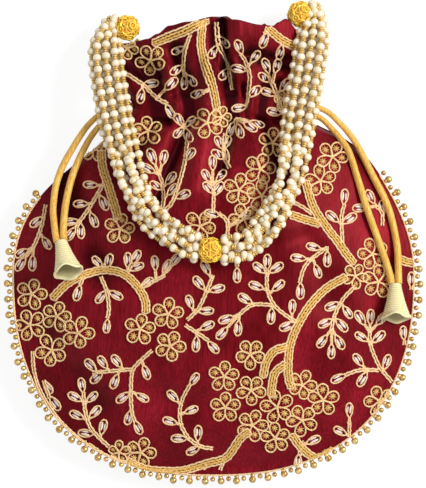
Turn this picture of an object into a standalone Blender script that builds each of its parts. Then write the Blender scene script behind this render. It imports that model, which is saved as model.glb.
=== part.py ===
"""Drawstring potli bag, stored lying on its back.

+Z points out of the embroidered front, +Y towards the mouth, +X to the right. The origin is the
centre of the flat patch on which the back rests, below the widest line of the round pouch.
Lengths are in metres.
"""

import math

import bmesh
import bpy
from mathutils import Matrix, Vector
from mathutils.bvhtree import BVHTree

MM = 0.001

# Cloth thicknesses and clearances
SILK = 0.9 * MM              # embroidered silk with its stiff backing
LINING = 0.6 * MM
CLEAR = 0.3 * MM             # gap between pieces that touch
SEAM_HALF = 0.3 * MM         # half the gap between the sewn edges of front and back
LINING_LOOSENESS = 1.6 * MM  # how far the lining hangs inside the silk
LINING_SEAM_STEP = 5.5 * MM  # the lining's seam lies this far inside the silk's
LINING_NECK_STEP = 5.2 * MM  # and this much further in the neck, beside the drawstrings

# Round pouch, seen from the front
POUCH_HALF_WIDTH = 108 * MM
POUCH_DROP = 108 * MM        # widest line to the lowest point of the rim
OUTLINE_POWER = 2.3          # 2 would be a true circle, more is squarer
SHOULDER_POWER = 2.15
SHOULDER_LEAN = 7 * MM       # the shoulders sag to one side
SEAM_WIDTH = 2.6 * MM        # flat sewn edge round the pouch
SIDE_SEAM_WIDTH = 1.2 * MM   # the same edge up the neck and the frill

# Neck with its drawstring channel, and the gathered frill above it
NECK_HEIGHT = 90 * MM        # widest line to the middle of the channel
NECK_HALF_WIDTH = 41.5 * MM
SHOULDER = (0.44 * NECK_HEIGHT, 0.9 * NECK_HEIGHT)   # where the cloth draws in to the neck
FRILL_HALF_WIDTH = 47 * MM
FRILL_TOP = 138.5 * MM
LEFT_CORNER_DROP = 12 * MM   # how far the mouth's corners hang below its middle
RIGHT_CORNER_DROP = 4.5 * MM
FRONT_DROOP_POWER = 2
BACK_DROOP_POWER = 4         # the back edge of the mouth stays high nearly to its corners

# Depth of the bag
RIM_HEIGHT = 16 * MM         # rim plane above the surface it lies on
FRONT_RISE = 28 * MM
BACK_DROP = 19 * MM          # depth behind the rim before the surface below flattens it
NECK_RISE = 13 * MM
DOME_POWER = 2.2
DOME_ROUNDING = 0.95
NECK_ROUNDING = 0.6

# Gathers
PLEATS_FRONT = 5
PLEATS_BACK = 4
PLEAT_START = 0.53 * NECK_HEIGHT
NECK_PLEAT = 1.6 * MM
FRILL_PLEAT = 3.0 * MM

# Drawstrings
CORD_DIAMETER = 3.4 * MM
CHANNEL_PITCH = 4.0 * MM     # the two drawstrings lie side by side in the channel
SLIT_HALF_HEIGHT = 4.3 * MM  # opening in the side seam where a drawstring comes out
SLIT_HALF_GAP = 4.8 * MM
SLIT_CLOSED_HALF = 8.0 * MM
CORD_SPACING = 3.9 * MM      # between the two tails of one drawstring
TAIL_GAP = 0.7 * MM

# Beaded handle
BEAD_DIAMETER = 4.2 * MM
LINK_DIAMETER = 2.2 * MM     # gold beads between the pearls
BEAD_PITCH = 6.6 * MM
STRAND_ACROSS = 4.7 * MM
STRAND_DEEP = 4.1 * MM
STRANDS_ACROSS = 3
BALL_DIAMETER = 14.4 * MM
BALL_BORE = 4.0 * MM
HANDLE_SPREAD = 0.1         # how much the bundle loosens over the pouch
HANDLE_GAP = 1.7 * MM        # room for the embroidery under the handle
HANDLE_HANG_POWER = 2.3
HANDLE_MIDDLE = (-1.9 * MM, 13.5 * MM)
HANDLE_RISE = 30 * MM        # height gained from ball to middle where nothing carries the strands
BORE_TILT = math.radians(14)
MIDDLE_TILT = math.radians(20)   # strands reach the middle ball from slightly above
HANDLE_OFFSET = 13.2 * MM    # from an end ball's middle out to the strands that hang beside it
TWIST_SHARE = 0.24           # the bundle starts on edge and has turned flat at this share

# Bead edging round the rim
EDGE_BEAD = 3.4 * MM
EDGE_SEED = 2.0 * MM
EDGE_PITCH = 8.8 * MM
EDGING_TOPS = {-1: 0.47, 1: 0.6}   # ends on the left and right shoulder, as shares of the neck's height

# Bell-shaped cord ends
BELL_LENGTH = 19 * MM
BELL_TOP_RADIUS = 3.3 * MM
BELL_LIP_RADIUS = 9.6 * MM
BELL_TOP_LEFT = (-82.0 * MM, 18.0 * MM)
BELL_TOP_RIGHT = (98.0 * MM, -5.0 * MM)
BELL_TURN_LEFT = math.radians(15)    # from straight down, seen from the front
BELL_TURN_RIGHT = math.radians(1)
BELL_PITCH = math.radians(17)        # mouth tilted up, because the lip is wider than the top
BELL_LIFT = 1.9 * MM

# Couched-cord embroidery
STEM_WIDTH = 4.6 * MM
STEM_STEP = 4.5 * MM
RELIEF = 0.7 * MM
RELIEF_LIFT = 0.55 * MM
FLOWER_RADIUS = 7.5 * MM
FLOWER_NOTCH = 0.62

# Mesh fineness
FRONT_GRID = {"columns": 30, "lower": 9, "shoulder": 6, "frill": 3}
BACK_GRID = {"columns": 22, "lower": 7, "shoulder": 6, "frill": 2}
LINING_GRID = {"columns": 12, "lower": 6, "shoulder": 4, "frill": 2}

BUNDLE_HALF_DEPTH = (STRAND_DEEP + BEAD_DIAMETER) / 2
BALL_RADIUS = BALL_DIAMETER / 2


def clear_scene():
    for obj in list(bpy.data.objects):
        bpy.data.objects.remove(obj)


def make_material(name, colour, roughness, metallic=0.0):
    material = bpy.data.materials.new(name)
    material.use_nodes = True
    shader = material.node_tree.nodes["Principled BSDF"]
    shader.inputs["Base Color"].default_value = (*colour, 1)
    shader.inputs["Roughness"].default_value = roughness
    shader.inputs["Metallic"].default_value = metallic
    material.diffuse_color = (*colour, 1)
    return material


def make_materials():
    return {
        "silk": make_material("maroon_silk", (0.27, 0.006, 0.028), 0.42),
        "lining": make_material("maroon_lining", (0.16, 0.008, 0.025), 0.6),
        "pearl": make_material("ivory_pearl", (0.84, 0.76, 0.60), 0.25),
        "gold": make_material("gold_bead", (0.86, 0.52, 0.08), 0.3, 0.8),
        "cord": make_material("gold_satin_cord", (0.78, 0.50, 0.13), 0.4),
        "zari": make_material("gold_thread", (0.72, 0.45, 0.17), 0.5, 0.3),
        "bell": make_material("pale_gold_thread", (0.80, 0.66, 0.30), 0.4, 0.2),
    }


def finish(obj, name, material, collection):
    """Names an object, gives it its material and moves it to the bag's collection."""
    obj.name = name
    obj.data.name = name
    obj.data.materials.clear()
    obj.data.materials.append(material)
    for other in list(obj.users_collection):
        other.objects.unlink(obj)
    collection.objects.link(obj)
    return obj


def smoothstep(low, high, value):
    t = min(1.0, max(0.0, (value - low) / (high - low)))
    return t * t * (3 - 2 * t)


# The bag's own shape. Every other piece reads its place from these functions.


def mouth_edge(across, side):
    """Height of the frill's top edge, at a share of its half width from -1 to 1."""
    drop = LEFT_CORNER_DROP if across < 0 else RIGHT_CORNER_DROP
    power = FRONT_DROOP_POWER if side > 0 else BACK_DROOP_POWER
    return FRILL_TOP - drop * abs(across) ** power


def middle_x(y):
    """Middle of the bag's width at height y."""
    share = min(1.0, max(0.0, y / (NECK_HEIGHT - SLIT_CLOSED_HALF)))
    return SHOULDER_LEAN * math.sin(math.pi * share**4)


def half_width(y):
    """Half the bag's width at height y, measured from the widest line of the pouch."""
    if y < 0:
        down = min(1.0, -y / POUCH_DROP)
        return POUCH_HALF_WIDTH * (1 - down**OUTLINE_POWER) ** (1 / OUTLINE_POWER)
    if y < NECK_HEIGHT:
        widening = 1 - (y / NECK_HEIGHT) ** SHOULDER_POWER
        return NECK_HALF_WIDTH + (POUCH_HALF_WIDTH - NECK_HALF_WIDTH) * widening
    flare = smoothstep(NECK_HEIGHT, NECK_HEIGHT + 25 * MM, y)
    return NECK_HALF_WIDTH + (FRILL_HALF_WIDTH - NECK_HALF_WIDTH) * flare


def seam_width(y):
    return SEAM_WIDTH + (SIDE_SEAM_WIDTH - SEAM_WIDTH) * smoothstep(*SHOULDER, y)


def swell(share, rounding=DOME_ROUNDING):
    return max(0.0, 1 - abs(share) ** DOME_POWER) ** rounding


def rounding_at(y):
    return DOME_ROUNDING + (NECK_ROUNDING - DOME_ROUNDING) * smoothstep(SHOULDER[0], NECK_HEIGHT, y)


def rise_at(y, full):
    """Depth of the cloth beyond the rim plane on the bag's middle line."""
    if y < 0:
        return full * swell(-y / (POUCH_DROP - SEAM_WIDTH))
    share = min(1.0, y / NECK_HEIGHT)
    return NECK_RISE + (full - NECK_RISE) * (1 - share * share) ** 1.2


def pleat_depth(y):
    gathered = NECK_PLEAT * smoothstep(PLEAT_START, NECK_HEIGHT, y)
    return gathered + (FRILL_PLEAT - NECK_PLEAT) * smoothstep(NECK_HEIGHT, FRILL_TOP, y)


def front_height(x, y):
    """Height of the front's outer face, pleats left out; the rim's height beyond the outline."""
    edge = half_width(y) - seam_width(y)
    flat = RIM_HEIGHT + SEAM_HALF + SILK
    across = abs(x - middle_x(y))
    if across >= edge:
        return flat
    return flat + (rise_at(y, FRONT_RISE) - SEAM_HALF - SILK) * swell(across / edge, rounding_at(y))


def row_list(grid, top_trim):
    """The rows of a cloth grid, from the pouch's lowest point to the mouth."""
    rows = []
    for i in range(grid["lower"]):
        rows.append(("lower", math.pi / 2 * i / grid["lower"]))
    last = NECK_HEIGHT - SLIT_CLOSED_HALF
    for i in range(grid["shoulder"] + 1):
        rows.append(("upper", last * i / grid["shoulder"]))
    rows.append(("slit", NECK_HEIGHT - SLIT_HALF_HEIGHT))
    rows.append(("slit", NECK_HEIGHT + SLIT_HALF_HEIGHT))
    rows.append(("upper", NECK_HEIGHT + SLIT_CLOSED_HALF))
    for i in range(grid["frill"]):
        rows.append(("frill", (i + 1) / grid["frill"] - (top_trim if i + 1 == grid["frill"] else 0)))
    return rows


def cloth_point(row, s, columns, side, cloth):
    """A point of a cloth's outer face. s runs from -1 to 1 across the bag, side is 1 for the front."""
    kind, value = row
    inset = cloth["inset"]
    at_edge = abs(s) > 1 - 0.5 / columns
    a = max(-1.0, min(1.0, s / (1 - 2 / columns)))
    u = a * (1.25 - 0.25 * a * a)
    slit = SLIT_HALF_GAP if kind == "slit" else 0
    if kind == "lower":
        width_share = math.sin(value) ** (2 / OUTLINE_POWER)
        drop_share = math.cos(value) ** (2 / OUTLINE_POWER)
        seam = 0 if at_edge else SEAM_WIDTH
        half = (POUCH_HALF_WIDTH - inset - seam) * width_share
        y = -(POUCH_DROP - inset - seam) * drop_share
        rise = cloth["rise"] * swell(drop_share)
    else:
        if kind == "frill":
            base = NECK_HEIGHT + SLIT_CLOSED_HALF
            y = base + (mouth_edge(u, side) - base) * value
        else:
            y = value
        inset += cloth["neck_inset"] * smoothstep(PLEAT_START, NECK_HEIGHT - SLIT_CLOSED_HALF, y)
        half = half_width(y) - inset - (0 if at_edge else seam_width(y))
        rise = rise_at(y, cloth["rise"])
    flat = SEAM_HALF + cloth["thickness"] + slit * cloth["slit_share"]
    depth = flat
    if not at_edge:
        pleat = cloth["pleats"] and math.cos(math.pi * cloth["pleats"] * (u + 1) + cloth["phase"])
        ripple = pleat_depth(y) * (pleat if cloth["pleats"] else -1) * (1 - u**6)
        level = max(0.0, rise - flat - cloth["sink"](y))
        depth += (level + ripple) * swell(u, rounding_at(y))
    z = RIM_HEIGHT + side * depth
    x = middle_x(y) + (math.copysign(half, s) if at_edge else half * u)
    return Vector((x, y, max(z, cloth["floor"])))


def make_cloth(name, grid, side, cloth, material, collection):
    """A panel: a grid laid over the bag's shape, then given its thickness inwards."""
    columns = grid["columns"]
    rows = row_list(grid, cloth["trim"])
    bpy.ops.mesh.primitive_grid_add(
        x_subdivisions=columns, y_subdivisions=len(rows) - 1, size=2, location=(0, 0, 0)
    )
    obj = finish(bpy.context.object, name, material, collection)
    mesh = bmesh.new()
    mesh.from_mesh(obj.data)
    for vert in mesh.verts:
        row = rows[round((vert.co.y + 1) / 2 * (len(rows) - 1))]
        vert.co = cloth_point(row, vert.co.x, columns, side, cloth)
    bmesh.ops.remove_doubles(mesh, verts=mesh.verts, dist=0.01 * MM)
    if side < 0:
        bmesh.ops.reverse_faces(mesh, faces=mesh.faces)
    mesh.to_mesh(obj.data)
    mesh.free()
    wall = obj.modifiers.new("cloth thickness", "SOLIDIFY")
    wall.thickness = cloth["thickness"]
    wall.offset = -1
    wall.use_even_offset = True
    obj.data.shade_smooth()
    return obj


def no_sink(y):
    return 0.0


def lining_sink(y):
    """How far the lining lies below the silk: enough to clear it, and at the neck the drawstring."""
    cord_room = CORD_DIAMETER + 2 * CLEAR
    at_neck = smoothstep(NECK_HEIGHT - 30 * MM, NECK_HEIGHT - SLIT_CLOSED_HALF, y)
    at_neck -= smoothstep(NECK_HEIGHT + SLIT_CLOSED_HALF, NECK_HEIGHT + 16 * MM, y)
    return SILK + LINING_LOOSENESS + cord_room * at_neck


def make_panels(materials, collection):
    front = {
        "rise": FRONT_RISE, "inset": 0, "thickness": SILK, "sink": no_sink, "slit_share": 1,
        "pleats": PLEATS_FRONT, "phase": 0.9, "floor": 0, "trim": 0, "neck_inset": 0,
    }
    back = {**front, "rise": BACK_DROP, "pleats": PLEATS_BACK, "phase": 2.2}
    inner = {
        **front, "inset": SEAM_WIDTH + LINING_SEAM_STEP, "thickness": LINING, "sink": lining_sink,
        "neck_inset": LINING_NECK_STEP, "slit_share": 0, "pleats": 0, "trim": 0.05,
    }
    inner_back = {**inner, "rise": BACK_DROP, "floor": SILK + LINING_LOOSENESS}
    return [
        make_cloth("front_panel", FRONT_GRID, 1, front, materials["silk"], collection),
        make_cloth("back_panel", BACK_GRID, -1, back, materials["silk"], collection),
        make_cloth("front_lining", LINING_GRID, 1, inner, materials["lining"], collection),
        make_cloth("back_lining", LINING_GRID, -1, inner_back, materials["lining"], collection),
    ]


# Curves: a smooth line through chosen points, resampled to even steps


def smooth_line(points, per_span=10):
    """Catmull-Rom curve through the points, as a dense list."""
    ends = [2 * points[0] - points[1], *points, 2 * points[-1] - points[-2]]
    line = []
    for a, b, c, d in zip(ends, ends[1:], ends[2:], ends[3:]):
        for i in range(per_span):
            t = i / per_span
            line.append(
                0.5 * (2 * b + (c - a) * t + (2 * a - 5 * b + 4 * c - d) * t**2
                       + (3 * b - a - 3 * c + d) * t**3)
            )
    line.append(points[-1])
    return line


def even_steps(line, step, even_count=False):
    """The line's points again, at equal distances of about step. even_count keeps the spans even."""
    lengths = [0.0]
    for a, b in zip(line, line[1:]):
        lengths.append(lengths[-1] + (b - a).length)
    spans = max(2, round(lengths[-1] / step))
    if even_count:
        spans = 2 * max(1, round(lengths[-1] / step / 2))
    found = []
    at = 0
    for i in range(spans + 1):
        target = lengths[-1] * i / spans
        while at < len(line) - 2 and lengths[at + 1] < target:
            at += 1
        share = (target - lengths[at]) / max(1e-12, lengths[at + 1] - lengths[at])
        found.append(line[at].lerp(line[at + 1], min(1.0, share)))
    return found


def make_tube(name, points, radii, resolution, material, collection):
    """A closed tube along the points, with its own radius at each."""
    data = bpy.data.curves.new(name, "CURVE")
    data.dimensions = "3D"
    data.bevel_depth = max(radii)
    data.bevel_resolution = resolution
    data.use_fill_caps = True
    spline = data.splines.new("POLY")
    spline.points.add(len(points) - 1)
    for slot, point, radius in zip(spline.points, points, radii):
        slot.co = (*point, 1)
        slot.radius = radius / data.bevel_depth
    obj = bpy.data.objects.new(name, data)
    bpy.context.scene.collection.objects.link(obj)
    return finish(obj, name, material, collection)


def make_bead_run(name, line, pitch, big, small, material, collection):
    """Beads on one thread: wide at each bead's middle, narrow between, and narrow at both ends."""
    points = even_steps(line, pitch / 2, even_count=True)
    radii = [(big if i % 2 else small) / 2 for i in range(len(points))]
    return make_tube(name, points, radii, 0, material, collection)


def make_turned(name, profile, steps, material, collection):
    """A turned solid about its own Z axis. The profile runs down its outer side."""
    mesh = bpy.data.meshes.new(name)
    edges = [(i, i + 1) for i in range(len(profile) - 1)]
    if profile[0][0] > 0:
        edges.append((len(profile) - 1, 0))
    mesh.from_pydata([(r, 0, z) for r, z in profile], edges, [])
    obj = bpy.data.objects.new(name, mesh)
    bpy.context.scene.collection.objects.link(obj)
    turn = obj.modifiers.new("turn", "SCREW")
    turn.steps = turn.render_steps = steps
    turn.use_merge_vertices = True
    turn.merge_threshold = 0.01 * MM
    return finish(obj, name, material, collection)


# Drawstrings


def channel_line(sign, row_y):
    """One drawstring inside the channel: in at its slit, round the neck and out again."""
    wall = SILK + NECK_PLEAT + CLEAR + CORD_DIAMETER / 2
    reach = NECK_HALF_WIDTH - SIDE_SEAM_WIDTH - wall
    level = NECK_RISE - wall
    slit_x = NECK_HALF_WIDTH + CLEAR / 2
    ends = [
        [Vector((sign * x, row_y, RIM_HEIGHT + side * CORD_SPACING / 2))
         for x in (slit_x, slit_x - CORD_DIAMETER)]
        for side in (1, -1)
    ]
    points = [ends[0][1]]
    turns = 16
    for i in range(1, 2 * turns):
        u = math.cos(math.pi * i / turns)
        side = (turns > i) - (turns < i)
        z = RIM_HEIGHT + side * level * swell(u * 0.96, NECK_ROUNDING)
        points.append(Vector((sign * reach * u, row_y, z)))
    points.append(ends[1][1])
    return [ends[0][0], *even_steps(smooth_line(points), 1.3 * CORD_DIAMETER), ends[1][0]]


def tail_line(sign, row_y, in_front, route, bell_end, front_tree):
    """A drawstring's free tail, from its slit over the shoulder to the top of its bell.

    The two tails leave the slit one above the other and roll side by side on the shoulder.
    """
    slit_x = NECK_HALF_WIDTH + CLEAR * 1.5
    half = CORD_SPACING / 2
    way = 1 if in_front else -1
    start = Vector((sign * slit_x, row_y, RIM_HEIGHT + way * half))
    leave = start + Vector((sign * 2.5 * MM, 0, 0))
    roll_y = NECK_HEIGHT - way * 1.5 * half
    roll = Vector((sign * (slit_x + 7 * MM), roll_y, RIM_HEIGHT + half + way * 1.2 * MM))
    points = [leave, roll]
    for x, y in route:
        points.append(Vector((x, y, front_height(x, y) + CORD_DIAMETER)))
    line = even_steps(smooth_line([*points, bell_end[0]]), 2.2 * CORD_DIAMETER)
    settled = [rest_on(front_tree, p, CORD_DIAMETER / 2 + TAIL_GAP) for p in line[2:-1]]
    return [start, *line[:2], *settled, *bell_end]


def look_down(tree, x, y):
    """The point and normal of the cloth below (x, y)."""
    above = 2 * (RIM_HEIGHT + FRONT_RISE)
    point, normal, _, _ = tree.ray_cast(Vector((x, y, above)), Vector((0, 0, -1)))
    return point, normal


def rest_on(tree, point, distance):
    """Lifts or lowers a point until it lies at the distance from the cloth below it."""
    for _ in range(4):
        near, _, _, gap = tree.find_nearest(point)
        beside = (point - near).xy.length
        if gap < distance or beside < 1.5 * MM:
            point = point + Vector((0, 0, distance - gap))
    return point


# Free tails, laid by hand over the shoulders and the front, tail nearer the middle first
LEFT_TAILS = (
    ((-53.0 * MM, 87.2 * MM), (-63.0 * MM, 79.2 * MM), (-71.0 * MM, 66.5 * MM), (-77.0 * MM, 51.0 * MM),
     (-80.0 * MM, 36.0 * MM)),
    ((-55.0 * MM, 91.0 * MM), (-66.3 * MM, 82.8 * MM), (-76.0 * MM, 69.0 * MM), (-84.0 * MM, 53.0 * MM),
     (-86.5 * MM, 36.0 * MM)),
)
RIGHT_TAILS = (
    ((53.0 * MM, 87.0 * MM), (59.0 * MM, 84.2 * MM), (65.0 * MM, 78.0 * MM), (72.3 * MM, 68.5 * MM),
     (77.5 * MM, 53.0 * MM), (83.0 * MM, 35.0 * MM), (90.0 * MM, 16.0 * MM)),
    ((53.5 * MM, 91.6 * MM), (61.0 * MM, 88.8 * MM), (68.5 * MM, 82.0 * MM), (77.0 * MM, 71.5 * MM),
     (86.0 * MM, 54.0 * MM), (94.4 * MM, 37.0 * MM), (99.0 * MM, 17.0 * MM)),
)


def bell_frame(top, turn):
    """Place and turn of a bell that lies on the front: its own +Z runs from mouth to top."""
    x, y = top
    lift = BELL_TOP_RADIUS + BELL_LIFT
    down = Vector((math.sin(turn), -math.cos(turn), 0))
    end_x, end_y = x + down.x * BELL_LENGTH, y + down.y * BELL_LENGTH
    slope = (front_height(end_x, end_y) - front_height(x, y)) / BELL_LENGTH
    axis = (down + Vector((0, 0, slope + math.tan(BELL_PITCH)))).normalized()
    place = Vector((x, y, front_height(x, y) + lift))
    return place, axis


def make_bell(name, top, turn, materials, collection):
    place, axis = bell_frame(top, turn)
    lip = BELL_LIP_RADIUS
    length = BELL_LENGTH
    profile = [
        (0, 0), (BELL_TOP_RADIUS, 0), (3.8 * MM, -0.2 * length), (4.7 * MM, -0.47 * length),
        (6.0 * MM, -0.73 * length), (7.6 * MM, -0.9 * length), (lip, -0.965 * length),
        (lip - 0.4 * MM, -length), (6.4 * MM, -0.94 * length), (0, -0.86 * length),
    ]
    bell = make_turned(name, profile, 12, materials["bell"], collection)
    bell.matrix_world = Matrix.Translation(place) @ (-axis).to_track_quat("Z", "X").to_matrix().to_4x4()
    return bell


def make_drawstrings(front_tree, materials, collection):
    cord = materials["cord"]
    radius = CORD_DIAMETER / 2
    sides = (
        ("left", -1, CHANNEL_PITCH / 2, LEFT_TAILS, BELL_TOP_LEFT, BELL_TURN_LEFT),
        ("right", 1, -CHANNEL_PITCH / 2, RIGHT_TAILS, BELL_TOP_RIGHT, BELL_TURN_RIGHT),
    )
    for word, sign, offset, routes, top, turn in sides:
        row_y = NECK_HEIGHT + offset
        run = channel_line(sign, row_y)
        make_tube(f"drawstring_{word}_channel_run", run, [radius] * len(run), 1, cord, collection)
        make_bell(f"bell_{word}", top, turn, materials, collection)
        place, axis = bell_frame(top, turn)
        across = axis.cross(Vector((0, 0, 1))).normalized() * CORD_SPACING / 2
        for index, route in enumerate(routes):
            outward = -1 if (sign < 0) == (index == 0) else 1
            end = place - axis * CLEAR + across * outward
            bell_end = [end - axis * CORD_DIAMETER, end]
            points = tail_line(sign, row_y, index == 0, route, bell_end, front_tree)
            part = "front" if index == 0 else "back"
            make_tube(
                f"drawstring_{word}_{part}_tail", points, [radius] * len(points), 2, cord, collection
            )


# Beaded handle


def ball_centre(sign):
    """An end ball sits on its corner of the mouth."""
    return Vector(
        (sign * FRILL_HALF_WIDTH, mouth_edge(sign, 1) + BALL_RADIUS + CLEAR, RIM_HEIGHT)
    )


def middle_ball_centre():
    x, y = HANDLE_MIDDLE
    return Vector((x, y, front_height(x, y) + HANDLE_GAP + BALL_RADIUS))


def bore_direction(sign):
    """From an end ball outwards, the way its strands leave it."""
    return Vector((sign * math.cos(BORE_TILT), math.sin(BORE_TILT), 0))


def soft_max(a, b, blend=3 * MM):
    return 0.5 * (a + b + math.sqrt((a - b) ** 2 + blend**2))


def handle_centre_line(sign):
    """Middle of the strands on one side: out of the end ball, over in an arch, and down the front."""
    ball = ball_centre(sign)
    middle = middle_ball_centre()
    out = bore_direction(sign)
    side_x = ball.x + sign * HANDLE_OFFSET
    points = [ball + out * (BALL_RADIUS + 3 * CLEAR), ball + out * (BALL_RADIUS + 2.8 * MM)]
    points.append(Vector((side_x - sign * 1.2 * MM, ball.y - 1 * MM, RIM_HEIGHT + 1 * MM)))
    shares = [0.05, 0.13, 0.22, 0.31, 0.4, 0.49, 0.58, 0.67, 0.76, 0.84, 0.91, 0.955]
    for share in shares:
        sideways = 1 - math.sqrt(1 - share**HANDLE_HANG_POWER)
        x = side_x + (middle.x - side_x) * sideways
        y = ball.y + (middle.y - ball.y) * share
        carried = front_height(x, y) + HANDLE_GAP + BUNDLE_HALF_DEPTH
        free = RIM_HEIGHT + HANDLE_RISE * share
        on_cloth = smoothstep(0.3, 0.5, share)
        z = free + (soft_max(free, carried) - free) * on_cloth
        points.append(Vector((x, y, z)))
    inward = Vector((sign * math.cos(MIDDLE_TILT), math.sin(MIDDLE_TILT), 0))
    stop = BALL_RADIUS + 3 * CLEAR
    points += [middle + inward * distance for distance in (stop + 4 * MM, stop)]
    return even_steps(smooth_line(points), 1.5 * MM)


def cloth_normal(x, y, weight):
    step = 4 * MM
    dx = (front_height(x + step, y) - front_height(x - step, y)) / (2 * step)
    dy = (front_height(x, y + step) - front_height(x, y - step)) / (2 * step)
    return Vector((-dx * weight, -dy * weight, 1)).normalized()


def strand_line(centre, index, layer):
    """One strand beside the bundle's middle line. index counts across, layer is 0 below and 1 above."""
    count = len(centre) - 1
    found = []
    for i, point in enumerate(centre):
        share = i / count
        ahead = (centre[min(i + 1, count)] - centre[max(i - 1, 0)]).normalized()
        normal = cloth_normal(point.x, point.y, smoothstep(0.4, 0.6, share))
        across = ahead.cross(normal).normalized()
        up = across.cross(ahead)
        loose = 1 + HANDLE_SPREAD * math.sin(math.pi * smoothstep(0.35, 1.0, share))
        stagger = 0.2 if layer else -0.2
        sideways = (index - (STRANDS_ACROSS - 1) / 2 + stagger) * STRAND_ACROSS * loose
        height = (layer - 0.5) * STRAND_DEEP
        turn = math.pi / 2 * (1 - smoothstep(0, TWIST_SHARE, share))
        wide = across * math.cos(turn) + up * math.sin(turn)
        deep = up * math.cos(turn) - across * math.sin(turn)
        found.append(point + wide * sideways + deep * height)
    return found


def make_ball(name, centre, bore, materials, collection, parent):
    """A turned bead with a bore for the threads."""
    bore_radius = BALL_BORE / 2
    start = math.asin(bore_radius / BALL_RADIUS)
    rings = 7
    profile = []
    for i in range(rings + 1):
        angle = start + (math.pi - 2 * start) * i / rings
        profile.append((BALL_RADIUS * math.sin(angle), BALL_RADIUS * math.cos(angle)))
    ball = make_turned(name, profile, 12, materials["gold"], collection)
    ball.matrix_world = Matrix.Translation(centre) @ bore.to_track_quat("Z", "Y").to_matrix().to_4x4()
    hang_on(ball, parent)
    return ball


def hang_on(obj, parent):
    obj.parent = parent
    obj.matrix_parent_inverse = parent.matrix_world.inverted()


def make_handle(materials, collection):
    """End balls, middle ball and strands, all on an empty that lies on the swing axis."""
    left, right = ball_centre(-1), ball_centre(1)
    pivot = bpy.data.objects.new("handle_swing_axis", None)
    collection.objects.link(pivot)
    pivot.matrix_world = (
        Matrix.Translation((left + right) / 2)
        @ (left - right).to_track_quat("X", "Z").to_matrix().to_4x4()
    )
    bpy.context.view_layer.update()
    make_ball("end_ball_left", left, bore_direction(-1), materials, collection, pivot)
    make_ball("end_ball_right", right, bore_direction(1), materials, collection, pivot)
    make_ball("middle_ball", middle_ball_centre(), Vector((1, 0, 0)), materials, collection, pivot)
    for word, sign in (("left", -1), ("right", 1)):
        centre = handle_centre_line(sign)
        for layer, row in ((1, "upper"), (0, "lower")):
            for index in range(STRANDS_ACROSS):
                strand = make_bead_run(
                    f"strand_{word}_{row}_{index + 1}", strand_line(centre, index, layer),
                    BEAD_PITCH, BEAD_DIAMETER, LINK_DIAMETER, materials["pearl"], collection,
                )
                hang_on(strand, pivot)


def make_tab(word, sign, materials, collection):
    """Loop of cord sewn inside the mouth's corner, which carries the end ball."""
    ball = ball_centre(sign)
    inward = -bore_direction(sign)
    end = ball + inward * (BALL_RADIUS + CLEAR)
    corner = Vector((sign * (FRILL_HALF_WIDTH - 8.5 * MM), end.y - 9 * MM, RIM_HEIGHT))
    root = corner + Vector((-sign * 0.6 * MM, -9 * MM, 0))
    points = even_steps(smooth_line([end, end + inward * 2.5 * MM, corner, root]), 4 * MM)
    make_tube(
        f"handle_tab_{word}", points, [1.2 * MM] * len(points), 1, materials["cord"], collection
    )


def make_edging(materials, collection):
    """Beads sewn along the rim, from one shoulder round the bottom to the other."""
    offset = EDGE_BEAD / 2 + CLEAR
    power = 2 / OUTLINE_POWER
    halves = []
    for sign in (-1, 1):
        half = []
        for i in range(8):
            y = EDGING_TOPS[sign] * NECK_HEIGHT * (1 - i / 8)
            half.append(Vector((middle_x(y) + sign * (half_width(y) + offset), y, RIM_HEIGHT)))
        for i in range(32):
            angle = math.pi / 2 * i / 32
            x = (POUCH_HALF_WIDTH + offset) * math.cos(angle) ** power
            y = -(POUCH_DROP + offset) * math.sin(angle) ** power
            half.append(Vector((sign * x, y, RIM_HEIGHT)))
        halves.append(half)
    bottom = Vector((0, -(POUCH_DROP + offset), RIM_HEIGHT))
    line = halves[0] + [bottom] + halves[1][::-1]
    gold = materials["gold"]
    make_bead_run("rim_bead_edging", line, EDGE_PITCH, EDGE_BEAD, EDGE_SEED, gold, collection)


# Couched-cord embroidery on the front

# Places on the front are shares: across, of the pouch's half width; down, of its drop; up, of the
# height of the neck
STEMS = {
    "stem_left_arch": ((-0.611, 0.014), (-0.537, 0.032), (-0.445, 0.009), (-0.382, -0.055),
        (-0.346, -0.111)),
    "stem_bottom": ((-0.13, -0.921), (-0.03, -0.903), (0.051, -0.87), (0.102, -0.833)),
    "stem_right_trunk": ((0.648, -0.019), (0.557, -0.07), (0.48, -0.155), (0.418, -0.257),
        (0.382, -0.343), (0.371, -0.42), (0.384, -0.463)),
    "stem_right_branch": ((0.32, -0.374), (0.287, -0.394), (0.265, -0.435)),
    "stem_lower_branch": ((0.327, -0.472), (0.304, -0.505), (0.293, -0.542), (0.291, -0.574)),
    "stem_right_shoulder": ((0.486, 0.456), (0.505, 0.389), (0.572, 0.27), (0.613, 0.21),
        (0.657, 0.132)),
    "stem_left_shoulder": ((-0.56, 0.689), (-0.554, 0.62), (-0.524, 0.511), (-0.494, 0.408)),
}
FLOWERS = (
    (0.231, 0.611), (0.13, 0.483), (0.162, 0.306), (-0.889, -0.095), (-0.761, -0.199),
    (-0.653, -0.296), (-0.792, -0.384), (-0.368, -0.27), (-0.228, -0.195), (-0.219, -0.356),
    (0.053, -0.505), (0.181, -0.397), (0.188, -0.575), (0.052, -0.665), (0.185, -0.755),
    (0.329, -0.676), (0.456, -0.554), (0.474, -0.702), (-0.465, 0.273),
)


def on_front(across, up):
    """The place of a share across and a share up or down, as x and y."""
    return across * POUCH_HALF_WIDTH, up * (POUCH_DROP if up < 0 else NECK_HEIGHT)


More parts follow.
